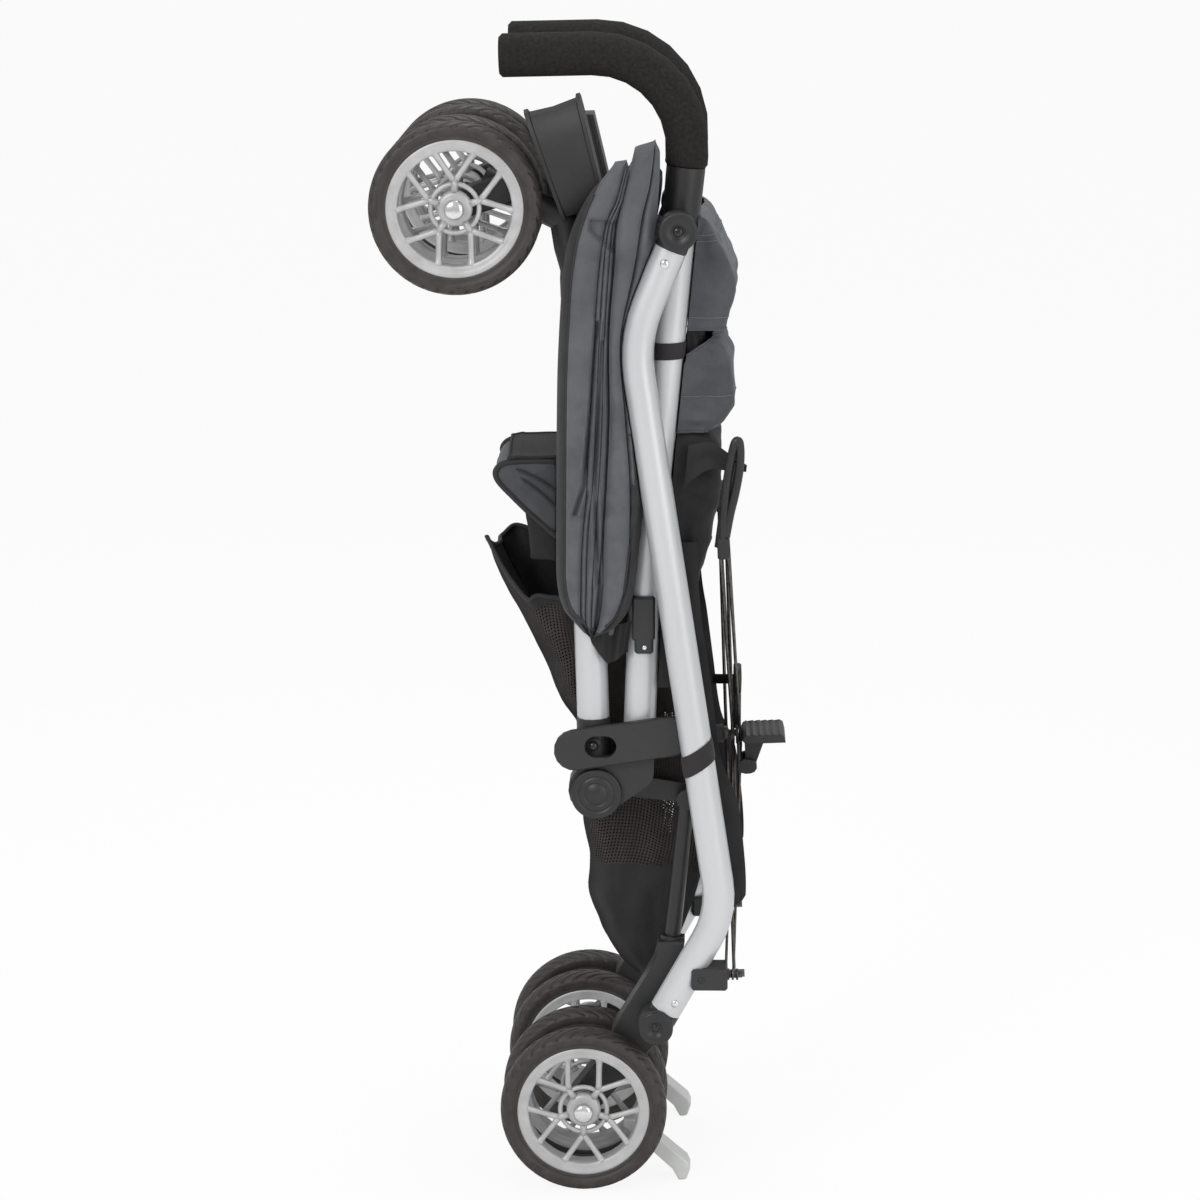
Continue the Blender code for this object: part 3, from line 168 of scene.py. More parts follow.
class Nodes(Tree):
    """Short names for building a material's node tree."""

    def __init__(self, name):
        self.mat = bpy.data.materials.new(name)
        super().__init__(self.mat)
        self.out = self.new("OutputMaterial")
        self.shader = self.new("BsdfPrincipled")
        self.link(self.shader.outputs[0], self.out.inputs["Surface"])
        self.coord = self.new("TexCoord")

    def put(self, socket, value):
        if isinstance(value, (int, float)):
            socket.default_value = value
        elif isinstance(value, tuple):
            socket.default_value = (*value, 1) if len(value) == 3 and socket.type == "RGBA" else value
        else:
            self.link(value, socket)

    def math(self, op, a, b=0.0):
        node = self.new("Math")
        node.operation = op
        self.put(node.inputs[0], a)
        self.put(node.inputs[1], b)
        return node.outputs[0]

    def noise(self, scale, detail=3.0, rough=0.55, coord="Object", stretch=None, warp=0.0):
        vector = self.coord.outputs[coord]
        if stretch:
            mapping = self.new("Mapping", Scale=stretch)
            self.link(vector, mapping.inputs["Vector"])
            vector = mapping.outputs[0]
        node = self.new("TexNoise", Scale=scale, Detail=detail, Roughness=rough, Distortion=warp)
        self.link(vector, node.inputs["Vector"])
        return node.outputs["Fac"]

    def cells(self, scale):
        node = self.new("TexVoronoi", Scale=scale)
        self.link(self.coord.outputs["Object"], node.inputs["Vector"])
        return node.outputs["Distance"]

    def axis(self, coord, name):
        node = self.new("SeparateXYZ")
        self.link(self.coord.outputs[coord], node.inputs[0])
        return node.outputs[name]

    def ramp(self, value, low, high, low_out=0.0, high_out=1.0):
        node = self.new("MapRange", From_Min=low, From_Max=high, To_Min=low_out, To_Max=high_out)
        node.clamp = True
        self.put(node.inputs["Value"], value)
        return node.outputs[0]

    def mix(self, factor, a, b):
        node = self.new("Mix")
        node.data_type = "RGBA"
        self.put(node.inputs["Factor"], factor)
        self.put(node.inputs[6], a)
        self.put(node.inputs[7], b)
        return node.outputs[2]

    def bump(self, height, distance, strength=1.0):
        node = self.new("Bump", Distance=distance, Strength=strength)
        self.put(node.inputs["Height"], height)
        normal = self.shader.inputs["Normal"]
        if normal.is_linked:
            self.link(normal.links[0].from_socket, node.inputs["Normal"])
        self.link(node.outputs[0], normal)

    def set(self, **values):
        for name, value in values.items():
            self.put(self.shader.inputs[name.replace("_", " ").title().replace("Ior", "IOR")], value)
        return self.mat


def silver_paint():
    n = Nodes("silver_paint")
    wear = n.noise(260, 4, 0.6)
    drift = n.noise(9, 2, 0.5, stretch=(1, 1, 0.35))
    tone = n.mix(n.ramp(drift, 0.3, 0.7), (0.590, 0.600, 0.615), (0.650, 0.660, 0.670))
    tone = n.mix(n.ramp(wear, 0.60, 0.80, 0.0, 0.25), tone, (0.52, 0.52, 0.53))
    n.bump(n.noise(900, 2, 0.5), 0.00006, 0.5)
    n.bump(n.noise(60, 2, 0.5), 0.00020, 0.25)
    return n.set(base_color=tone, roughness=n.ramp(wear, 0.3, 0.8, 0.30, 0.46), metallic=0.35)


def grained_plastic(name, colour, rough=0.50, grain=900, dust=0.06):
    n = Nodes(name)
    drift = n.noise(22, 3, 0.6)
    light = tuple(min(1, c * 1.35 + 0.006) for c in colour)
    tone = n.mix(n.ramp(drift, 0.35, 0.75, 0.0, 0.55), colour, light)
    fine = n.noise(520, 5, 0.7)
    tone = n.mix(n.ramp(fine, 0.62, 0.80, 0.0, dust * 5), tone, (0.16, 0.155, 0.15))
    n.bump(n.cells(grain), 0.00010, 0.55)
    n.bump(n.noise(45, 2, 0.5), 0.0003, 0.12)
    return n.set(base_color=tone, roughness=n.ramp(drift, 0.3, 0.8, rough - 0.07, rough + 0.10))


def grip_foam():
    n = Nodes("grip_foam")
    pores = n.cells(1500)
    lumps = n.noise(300, 4, 0.65)
    tone = n.mix(n.ramp(lumps, 0.35, 0.7), (0.013, 0.011, 0.011), (0.026, 0.023, 0.022))
    n.bump(pores, 0.00022, 0.7)
    n.bump(lumps, 0.0003, 0.45)
    return n.set(base_color=tone, roughness=0.93, specular_ior_level=0.25)


def tyre_rubber():
    n = Nodes("tyre_rubber")
    scuff = n.noise(70, 5, 0.7, stretch=(1, 3, 1))
    tone = n.mix(n.ramp(scuff, 0.35, 0.75), (0.024, 0.020, 0.018), (0.052, 0.045, 0.041))
    speck = n.noise(1400, 2, 0.6)
    tone = n.mix(n.ramp(speck, 0.74, 0.80, 0.0, 0.6), tone, (0.30, 0.27, 0.24))
    n.bump(n.noise(800, 3, 0.6), 0.00008, 0.5)
    return n.set(base_color=tone, roughness=n.ramp(scuff, 0.3, 0.8, 0.42, 0.68))


def rim_silver():
    n = Nodes("rim_silver")
    drift = n.noise(60, 3, 0.6)
    tone = n.mix(n.ramp(drift, 0.35, 0.7), (0.44, 0.44, 0.445), (0.53, 0.53, 0.535))
    n.bump(n.noise(1300, 3, 0.6), 0.00005, 0.6)
    return n.set(base_color=tone, roughness=n.ramp(drift, 0.3, 0.7, 0.34, 0.46), metallic=0.25)


def woven(name, dark, light, thread=0.0006, rough=0.85, sheen=0.25, crease=0.0005):
    """Plain woven cloth on the piece's own UVs, which are in metres."""
    n = Nodes(name)
    across = n.math("SINE", n.math("MULTIPLY", n.axis("UV", "X"), math.tau / (2 * thread)))
    along = n.math("SINE", n.math("MULTIPLY", n.axis("UV", "Y"), math.tau / (2 * thread)))
    weave = n.math("MULTIPLY", across, along)
    slub = n.noise(500, 3, 0.6, coord="UV", stretch=(1, 0.2, 1))
    broad = n.noise(30, 4, 0.6)
    tone = n.mix(n.ramp(broad, 0.3, 0.72), dark, light)
    tone = n.mix(n.ramp(weave, -0.6, 1.0, 0.0, 0.22), tone, tuple(c * 1.8 + 0.01 for c in light))
    tone = n.mix(n.ramp(slub, 0.55, 0.8, 0.0, 0.25), tone, tuple(c * 0.6 for c in dark))
    n.bump(weave, thread * 0.25, 0.35)
    n.bump(n.noise(85, 4, 0.6, warp=0.6), crease, 0.5)
    return n.set(base_color=tone, roughness=rough, sheen_weight=sheen, sheen_roughness=0.45,
                 sheen_tint=(0.75, 0.78, 0.85))


NET_PITCH = 0.0031
NET_HOLE_X = 0.44
NET_HOLE_Y = 0.52


def net(name, dark, light):
    """Open mesh with real holes, on UVs in metres."""
    n = Nodes(name)

    def inside(axis, gap):
        wrapped = n.math("FRACT", n.math("DIVIDE", n.axis("UV", axis), NET_PITCH))
        away = n.math("ABSOLUTE", n.math("SUBTRACT", wrapped, 0.5))
        return n.math("LESS_THAN", away, gap / 2), away

    in_x, away_x = inside("X", NET_HOLE_X)
    in_y, away_y = inside("Y", NET_HOLE_Y)
    gap = n.math("MULTIPLY", in_x, in_y)
    tone = n.mix(n.ramp(n.noise(40, 3, 0.6), 0.3, 0.7), dark, light)
    n.bump(n.math("MAXIMUM", away_x, away_y), 0.0006, 0.8)
    n.show(n.out, gap, n.shader, n.new("BsdfTransparent"))
    return n.set(base_color=tone, roughness=0.8)


def dark_steel():
    n = Nodes("bright_steel")
    streak = n.noise(300, 3, 0.6, stretch=(1, 1, 0.05))
    tone = n.mix(n.ramp(streak, 0.3, 0.7), (0.055, 0.050, 0.046), (0.16, 0.15, 0.14))
    n.bump(streak, 0.00004, 0.4)
    return n.set(base_color=tone, roughness=n.ramp(streak, 0.3, 0.7, 0.25, 0.42), metallic=0.9)


def nickel():
    n = Nodes("nickel")
    spot = n.noise(700, 3, 0.6)
    tone = n.mix(n.ramp(spot, 0.4, 0.7), (0.72, 0.72, 0.72), (0.86, 0.86, 0.86))
    n.bump(spot, 0.00003, 0.4)
    return n.set(base_color=tone, roughness=0.18, metallic=1.0)


def gloss_black():
    n = Nodes("gloss_black")
    tone = n.mix(n.ramp(n.noise(200, 3, 0.6), 0.4, 0.7), (0.010, 0.010, 0.011), (0.020, 0.020, 0.021))
    n.bump(n.noise(500, 2, 0.5), 0.00002, 0.3)
    return n.set(base_color=tone, roughness=0.14)


MATS = {
    "silver": silver_paint(),
    "black": grained_plastic("black_plastic", (0.020, 0.020, 0.0215)),
    "satin": grained_plastic("satin_black", (0.014, 0.014, 0.015), 0.40, 1200, 0.02),
    "grey": grained_plastic("grey_plastic", (0.56, 0.57, 0.56), 0.42, 1100, 0.0),
    "foam": grip_foam(),
    "tyre": tyre_rubber(),
    "rim": rim_silver(),
    "canopy": woven("canopy_cloth", (0.056, 0.058, 0.065), (0.098, 0.103, 0.115),
                    rough=0.60, sheen=0.3, crease=0.0010),
    "binding": woven("binding", (0.020, 0.019, 0.020), (0.034, 0.032, 0.034), sheen=0.08, crease=0.0002),
    "thread": woven("thread", (0.10, 0.10, 0.105), (0.16, 0.16, 0.165), 0.0005, 0.7, 0.1, 0.0001),
    "slate": woven("slate_cloth", (0.036, 0.037, 0.042), (0.066, 0.069, 0.078),
                   rough=0.68, sheen=0.2, crease=0.0012),
    "cloth": woven("black_cloth", (0.0055, 0.0045, 0.0048), (0.013, 0.0112, 0.0118),
                   rough=0.72, sheen=0.04, crease=0.0010),
    "webbing": woven("webbing", (0.012, 0.010, 0.010), (0.024, 0.020, 0.020), 0.0011, 0.8, 0.08, 0.0002),
    "net": net("basket_net", (0.016, 0.013, 0.012), (0.040, 0.033, 0.030)),
    "steel": dark_steel(),
    "nickel": nickel(),
    "gloss": gloss_black(),
}

NODE_LOOKS = {
    "rear_leg": "silver", "push_tube": "silver", "front_tube": "silver",
    "handle_grip": "foam", "handle_sleeve": "satin", "brake_pedal": "grey",
    "brace_arm": "steel", "side_link": "satin", "rear_strut": "satin",
    "_tyre": "tyre", "_rim": "rim",
}

SHARP_EDGE = math.radians(35)
TUBE_EDGE = math.radians(58)
WELD_GAP = 1e-5
BEVEL_W = 0.0006
ROUND_NODES = ("rear_leg", "push_tube", "front_tube", "handle_grip", "handle_sleeve", "rear_strut")
LEVER_Z = 0.576


def soften_edges(obj, is_round):
    """Smooth shading on curved faces and a small bevel on the edges, all by modifiers."""
    mesh = obj.data
    if "custom_normal" in mesh.attributes:
        mesh.attributes.remove(mesh.attributes["custom_normal"])
    mesh.shade_smooth()
    weld = obj.modifiers.new("weld", "WELD")
    weld.merge_threshold = WELD_GAP
    if is_round:
        split = obj.modifiers.new("split", "EDGE_SPLIT")
        split.use_edge_sharp = False
        split.split_angle = TUBE_EDGE
    else:
        bevel = obj.modifiers.new("bevel", "BEVEL")
        bevel.width = BEVEL_W
        bevel.segments = 2
        bevel.limit_method = "ANGLE"
        bevel.angle_limit = SHARP_EDGE
        bevel.harden_normals = True


def dress_nodes():
    for name, obj in NODES.items():
        look = next((key for part, key in NODE_LOOKS.items() if part in name), "black")
        obj.data.materials.clear()
        obj.data.materials.append(MATS[look])
        soften_edges(obj, name.startswith(ROUND_NODES))
    for name in ("brace_arm_left", "brace_arm_right"):
        mesh = NODES[name].data
        mesh.materials.append(MATS["satin"])
        for face in mesh.polygons:
            face.material_index = 1 if (NODES[name].matrix_world @ face.center).z > LEVER_Z else 0


# Shapes

def mix(a, b, t):
    return a + (b - a) * t


def spread(low, high, steps):
    return [mix(low, high, i / steps) for i in range(steps + 1)]


def clamp(t):
    return min(1.0, max(0.0, t))


def ease(low, high, value):
    """From 0 below low to 1 above high, smoothly."""
    t = clamp((value - low) / (high - low))
    return t * t * (3 - 2 * t)


def spline(rows, z):
    """Values of a table at z, on one smooth curve. Each row starts with its own z, the lowest row first."""
    if z <= rows[0][0]:
        return list(rows[0][1:])
    if z >= rows[-1][0]:
        return list(rows[-1][1:])
    k = max(i for i in range(len(rows) - 1) if rows[i][0] <= z)
    low, high = rows[k], rows[k + 1]
    before, after = rows[max(k - 1, 0)], rows[min(k + 2, len(rows) - 1)]
    span = high[0] - low[0]
    t = (z - low[0]) / span
    values = []
    for i in range(1, len(low)):
        slope_low = (high[i] - before[i]) / (high[0] - before[0]) * span
        slope_high = (after[i] - low[i]) / (after[0] - low[0]) * span
        bend = (2 * t ** 3 - 3 * t ** 2 + 1) * low[i] + (3 * t ** 2 - 2 * t ** 3) * high[i]
        values.append(bend + (t ** 3 - 2 * t ** 2 + t) * slope_low + (t ** 3 - t ** 2) * slope_high)
    return values


def wave(x, y, z=0.0):
    """Smooth noise from -1 to 1, the same each run."""
    return noise.noise(Vector((x, y, z)))


def make_object(name, bm, *looks):
    bm.normal_update()
    mesh = mesh_of(name, bm)
    for look in looks:
        mesh.materials.append(MATS[look])
    return add_object(name, mesh)


def skin(name, rows, looks, wrap=False, pick=None):
    """Quads through rows of points, with UVs in metres. pick(row, column) gives a quad's material."""
    bm = bmesh.new()
    layer = bm.loops.layers.uv.new("UVMap")
    grid = [[bm.verts.new(p) for p in row] for row in rows]
    count = len(rows[0])
    steps = count if wrap else count - 1
    along = 0.0
    for i in range(len(rows) - 1):
        rise = sum((a - b).length for a, b in zip(rows[i], rows[i + 1])) / count
        low_u, high_u = 0.0, 0.0
        for j in range(steps):
            k = (j + 1) % count
            next_low = low_u + (rows[i][k] - rows[i][j]).length
            next_high = high_u + (rows[i + 1][k] - rows[i + 1][j]).length
            face = bm.faces.new((grid[i][j], grid[i][k], grid[i + 1][k], grid[i + 1][j]))
            face.smooth = True
            face.material_index = pick(i, j) if pick else 0
            spots = ((low_u, along), (next_low, along), (next_high, along + rise), (high_u, along + rise))
            for loop, spot in zip(face.loops, spots):
                loop[layer].uv = spot
            low_u, high_u = next_low, next_high
        along += rise
    obj = make_object(name, bm, *looks)
    obj["length"] = along
    return obj


def grid(high, wide, place):
    """Rows of points. place(t, q) gives the point at a share of the rows and of a row."""
    return [[place(i / high, j / wide) for j in range(wide + 1)] for i in range(high + 1)]


def ring(centre, out, over, radius, steps):
    """Points round a centre, in the plane of two directions."""
    turns = [math.tau * k / steps for k in range(steps)]
    return [centre + (out * math.cos(a) + over * math.sin(a)) * radius for a in turns]


def tube(name, path, radius, look, sides=8):
    """A round cord or bar along a path, closed at its ends."""
    path = [Vector(p) for p in path]
    radii = radius if isinstance(radius, list) else [radius] * len(path)
    heading = (path[1] - path[0]).normalized()
    out = heading.orthogonal().normalized()
    rows = []
    for i, point in enumerate(path):
        ahead = path[min(i + 1, len(path) - 1)] - path[max(i - 1, 0)]
        turned_heading = ahead.normalized()
        out = (heading.rotation_difference(turned_heading) @ out).normalized()
        heading = turned_heading
        rows.append(ring(point, out, heading.cross(out), radii[i], sides))
    obj = skin(name, rows, [look], wrap=True)
    close_ends(obj)
    return obj


def close_ends(obj):
    bm = bmesh.new()
    bm.from_mesh(obj.data)
    bmesh.ops.holes_fill(bm, edges=[e for e in bm.edges if e.is_boundary], sides=0)
    bmesh.ops.recalc_face_normals(bm, faces=bm.faces)
    bm.to_mesh(obj.data)
    bm.free()


def turned(name, profile, centre, axis, look, steps=40):
    """A turned piece: profile rows are the distance along the axis and the radius."""
    axis = Vector(axis).normalized()
    out = axis.orthogonal().normalized()
    over = axis.cross(out)
    rows = [ring(Vector(centre) + axis * along, out, over, radius, steps) for along, radius in profile]
    obj = skin(name, rows, [look], wrap=True)
    close_ends(obj)
    return obj


def mount(piece, body):
    """Let the piece move with a body."""
    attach(piece, body)


def away_from(point, line, clear):
    """The point moved straight out of a round tube along a centre line, to at least clear from it."""
    best = None
    for a, b in zip(line, line[1:]):
        run = b - a
        t = clamp((point - a).dot(run) / run.length_squared)
        gap = point - (a + run * t)
        if best is None or gap.length < best.length:
            best = gap
    if best.length >= clear or best.length < 1e-6:
        return point
    return point + best.normalized() * (clear - best.length)


# Centre lines of the tubes

LEG_LINE = mm(
    (78.5, 864), (58.8, 816), (51.5, 790.9), (49.9, 764.9), (51.2, 751.9), (123, 290.8), (123.5, 268.4),
    (118.1, 246.7), (76.5, 170))
PUSH_LINE = mm((86.8, 883), (57.2, 568.3), (56.2, 551.7), (52, 430))


def line_at(points, y):
    return [Vector((x, y, z)) for x, z in points]


def x_on(points, z):
    for (xa, za), (xb, zb) in zip(points, points[1:]):
        if min(za, zb) <= z <= max(za, zb):
            return mix(xa, xb, (z - za) / (zb - za))
    return points[0][0] if z > points[0][1] else points[-1][0]


# Canopy

CANOPY_EDGE = mm(
    (515.5, 9.5, 11.5), (518, 3.5, 20), (523, -2, 30), (540, -16, 42.5), (564, -21.9, 48),
    (602, -22.5, 52.1), (650, -22.2, 56), (700, -22, 52), (752, -21.2, 44), (778, -20.2, 42.6),
    (804, -18.8, 46.6), (847, -15.7, 60), (890, -7.3, 66.2), (927.2, 7.6, 69), (945, 20.3, 69))
CANOPY_CREASES = mm(
    (516, 9.5, 9.8, 10, 10.3, 10.5, 11), (530, 1, 5, 9, 12, 16, 26), (560, 0, 5, 10, 15, 20, 38),
    (600, 1, 6, 12, 18, 20, 42.5), (658, 5.7, 10.5, 16, 21.5, 23, 43),
    (719, 8.3, 13.5, 18.8, 24, 25.5, 38.5), (784, 11.9, 16.5, 20.5, 23.5, 25, 34.5),
    (847, 16.3, 20.5, 24.3, 27.5, 29.5, 46.5), (890, 23, 25.5, 28.5, 31, 33.5, 54),
    (912, 32, 34, 36, 37, 38.5, 60.2), (945, 40, 41.5, 43, 45, 47, 65))
PLEAT_RISE = (0.021, 0.027, 0.023, 0.0245, 0.022, 0.014, 0.0265, 0.019)
CREASE_RISE = (0.0, 0.019, 0.012, 0.015, 0.015, 0.012, 0.012, 0.012, 0.0)
CREASE_TOP = (0.925, 0.940, 0.942, 0.936, 0.938, 0.942, 0.952, 0.960, 0.948)
PLEAT_STEPS = (8, 18, 9, 9, 8, 3, 20, 10)
STRIP_W = 0.0095
EDGE_CURL = 0.010
CANOPY_TOP = CANOPY_EDGE[-1][0]
FAR_RISE = 0.55
WAVE_SEED = 4.0
CANOPY_ROWS = 210
SHAPED_Z = 0.86
CANOPY_LOOPS = (
    mm((14.5, 800), (9, 719), (3, 658), (-5, 631)),
    mm((18.5, 784), (15, 719), (12.5, 658), (15, 567)))
TUCK = mm((8, 894.5), (33.5, 894.5), (30, 860), (7, 884))


def canopy_creases(z):
    """x of the pleats' edges at a height, from the front hem to the rear one."""
    front, rear = spline(CANOPY_EDGE, z)
    width = rear - front
    creases = [front, front + min(STRIP_W, width * 0.2)]
    for x in spline(CANOPY_CREASES, z):
        creases.append(max(x, creases[-1] + width * 0.02))
    creases.append(rear)
    for k in range(len(creases) - 2, 0, -1):
        creases[k] = min(creases[k], creases[k + 1] - width * 0.02)
    return creases


def edge_gap(x, z):
    """Distance from the canopy's outline, without its top edge."""
    step = 0.001
    front, rear = spline(CANOPY_EDGE, z)
    ahead = spline(CANOPY_EDGE, z + step)
    front_lean = (ahead[0] - front) / step
    rear_lean = (ahead[1] - rear) / step
    return min((x - front) / math.hypot(1, front_lean), (rear - x) / math.hypot(1, rear_lean))


def line_gap(x, z, line):
    """Distance from a point to a line in the side view."""
    best = 1.0
    for (xa, za), (xb, zb) in zip(line, line[1:]):
        run_x, run_z = xb - xa, zb - za
        t = clamp(((x - xa) * run_x + (z - za) * run_z) / (run_x ** 2 + run_z ** 2))
        best = min(best, math.hypot(x - xa - run_x * t, z - za - run_z * t))
    return best


def inside_gap(x, z, corners):
    """How far a point lies inside a convex outline that runs clockwise."""
    gap = 1.0
    for (xa, za), (xb, zb) in zip(corners, corners[1:] + corners[:1]):
        length = math.hypot(xb - xa, zb - za)
        gap = min(gap, ((z - za) * -(xb - xa) + (x - xa) * (zb - za)) / length)
    return gap


def canopy_rise(x, z, s):
    """Height of the folded cloth over its inner side, at a point of the side view."""
    seed = WAVE_SEED + s
    creases = canopy_creases(z)
    k = max(i for i in range(len(creases) - 1) if creases[i] <= x or i == 0)
    width = creases[k + 1] - creases[k]
    s = math.acos(min(1.0, max(-1.0, 1 - 2 * (x - creases[k]) / width))) / math.pi
    floor = mix(CREASE_RISE[k], CREASE_RISE[k + 1], s)
    rise = floor + (PLEAT_RISE[k] - floor) * (4 * s * (1 - s)) ** 0.55
    rise += 0.0013 * wave(x * 70, z * 15, seed)
    if k == 1:
        rise += 0.0007 * wave(x * 35, z * 130, seed + 3)
    if k >= 6:
        ruffle = ease(0.54, 0.58, z) * (1 - ease(0.71, 0.76, z))
        rise += (0.0007 + 0.0020 * ruffle) * wave(x * 75 + z * 30, z * 85, seed + 5)
    for line in CANOPY_LOOPS:
        gap = line_gap(x, z, line)
        rise += 0.0035 * math.exp(-((gap - 0.0036) / 0.0014) ** 2) - 0.0045 * math.exp(-(gap / 0.0019) ** 2)
    rise -= 0.0075 * ease(-0.0005, 0.0022, inside_gap(x, z, TUCK))
    gap = min(edge_gap(x, z), CANOPY_TOP - z)
    curl = 1 - clamp(gap / EDGE_CURL)
    return max(0.0, rise) * math.sqrt(1 - curl ** 2)


def canopy_inner_y(z):
    return mix(0.1045, 0.1138, ease(0.850, 0.875, z))


def raised(z, top):
    """The real height of a row whose plain height is z, on a column that ends at top."""
    if z < SHAPED_Z:
        return z
    return SHAPED_Z + (z - SHAPED_Z) * (top - SHAPED_Z) / (CANOPY_TOP - SHAPED_Z)


def canopy_wing(z, s):
    """One level of a wing, from its front hem over the pleats to its rear hem."""
    creases = canopy_creases(z)
    leg = line_at(LEG_LINE, s * LEG_Y)
    level = []
    for k, steps in enumerate(PLEAT_STEPS):
        for i in range(steps + (k == len(PLEAT_STEPS) - 1)):
            t = i / steps
            x = mix(creases[k], creases[k + 1], (1 - math.cos(math.pi * t)) / 2)
            top = mix(CREASE_TOP[k], CREASE_TOP[k + 1], t)
            if s > 0:
                top = mix(SHAPED_Z, top, FAR_RISE)
            real_z = raised(z, top)
            y = canopy_inner_y(real_z) + canopy_rise(x, z, s)
            level.append(away_from(Vector((x, s * y, real_z)), leg, TUBE_R + 0.0012))
    return level


def canopy_neck(z, s):
    """From a wing's rear hem back along its inner side and in between the tubes."""
    rear = canopy_creases(z)[-1]
    top = raised(z, 0.925 if s < 0 else 0.905)
    y = canopy_inner_y(top)
    neck = x_on(PUSH_LINE, z) - TUBE_R - 0.008
    points = [Vector((mix(rear, neck, t), s * (y - 0.0008), top)) for t in (0.3, 0.7)]
    points += [Vector((neck - 0.002, s * mix(y - 0.002, 0.066, t), top)) for t in (0.0, 0.35, 0.7, 1.0)]
    return points


def canopy_middle(z):
    """Folds of the cloth that hangs between the two wings."""
    top = raised(z, 0.912)
    points = []
    for i in range(1, 24):
        y = mix(-0.064, 0.064, i / 24)
        fold = 0.5 + 0.5 * math.cos(math.tau * 3 * i / 24)
        x = mix(0.018, 0.036, fold) + 0.003 * wave(y * 40, z * 9, 2.0)
        points.append(Vector((x, y, top)))
    return points


def canopy_row(z):
    left = canopy_wing(z, -1) + canopy_neck(z, -1)
    right = canopy_wing(z, 1) + canopy_neck(z, 1)
    return left + canopy_middle(z) + right[::-1]


def canopy_heights():
    low = CANOPY_EDGE[0][0]
    heights = []
    for i in range(CANOPY_ROWS + 1):
        t = i / CANOPY_ROWS
        heights.append(mix(low, CANOPY_TOP, t * mix(min(1.0, t / 0.12), 1.0, 0.25)))
    return heights


def make_canopy():
    heights = canopy_heights()
    rows = [canopy_row(z) for z in heights]
    last = len(rows[0]) - 1
    wing = sum(PLEAT_STEPS)

    def in_strip(i, j):
        j = min(j, last - 1 - j)
        if j >= wing:
            return 0
        point = rows[i][j]
        bound = heights[i] < 0.70 and edge_gap(point.x, heights[i]) < STRIP_W
        return 1 if j < PLEAT_STEPS[0] or bound else 0

    sheet = skin("canopy_sheet", rows, ["canopy", "binding"], pick=in_strip)
    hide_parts("canopy_left", "canopy_right")
    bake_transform(sheet)


PIPING_TOP = 0.925
PIPING_LOW = 0.5165
PIPING_REAR = 0.66
PIPING_STEP = 0.0022
PIPING_R = 0.0016


def canopy_piping(side, s):
    """A raised cord between the canopy's edge strip and its pleats, down the front and round the bottom."""
    down = spread(PIPING_TOP, PIPING_LOW, 60)
    up = spread(PIPING_LOW, PIPING_REAR, 30)
    outline = [Vector((spline(CANOPY_EDGE, z)[0], z)) for z in down]
    outline += [Vector((spline(CANOPY_EDGE, z)[1], z)) for z in up]
    path = []
    for i in range(1, len(outline) - 1):
        ahead = outline[i + 1] - outline[i - 1]
        inward = Vector((-ahead.y, ahead.x)).normalized()
        spot = outline[i] + inward * STRIP_W
        if path and (Vector((path[-1].x, path[-1].z)) - spot).length < PIPING_STEP:
            continue
        rise = canopy_rise(spot.x, spot.y, s)
        path.append(Vector((spot.x, s * (canopy_inner_y(spot.y) + rise), spot.y)))
    cord = tube("canopy_piping_" + side, path, PIPING_R, "binding")
    mount(cord, "canopy_" + side)


# Basket

BASKET_SIDE = 0.0655
BASKET_EDGE = mm(
    (182, 50, 70), (195, 36, 78), (215, 22.8, 86), (240, 12, 95), (263, 4.3, 103), (296, 6, 110),
    (330, -0.2, 112), (420, -5, 108), (443.6, -19.5, 102), (481, -35, 92), (527, -57.5, 60),
    (560, -75.5, 35), (596, -88, 20))
NEAR_RIM = (
    (0.0, 0.47), (0.25, 0.505), (0.5, 0.535), (0.749, 0.543), (0.811, 0.542), (0.885, 0.5393),
    (0.932, 0.556), (0.971, 0.5745), (1.0, 0.5945))
FAR_RIM = (
    (0.0, 0.47), (0.25, 0.51), (0.5, 0.56), (0.7, 0.578), (0.849, 0.5833), (0.965, 0.5766), (1.0, 0.574))
SIDE_STEPS = 34
FRONT_STEPS = 16
REAR_STEPS = 10
BASKET_ROWS = 96
PLAIN_Z = 0.292
NET_SPOTS = mm((77, 394, 10, 13), (79, 312, 10, 19))


def basket_spots():
    """Columns round the bag: how far forward, how far across (-1 near, 1 far), and the rim's height."""
    spots = []
    for i in range(SIDE_STEPS):
        q = math.sin(math.pi / 2 * i / SIDE_STEPS)
        spots.append((q, -1.0, spline(NEAR_RIM, q)[0]))
    for i in range(FRONT_STEPS + 1):
        t = i / FRONT_STEPS
        sag = 0.006 * math.sin(math.pi * t)
        spots.append((1.0, math.cos(math.pi * (1 - t)), mix(NEAR_RIM[-1][1], FAR_RIM[-1][1], t) - sag))
    for i in range(SIDE_STEPS - 1, -1, -1):
        q = math.sin(math.pi / 2 * i / SIDE_STEPS)
        spots.append((q, 1.0, spline(FAR_RIM, q)[0]))
    for i in range(1, REAR_STEPS):
        spots.append((0.0, mix(1.0, -1.0, i / REAR_STEPS), NEAR_RIM[0][1]))
    return spots


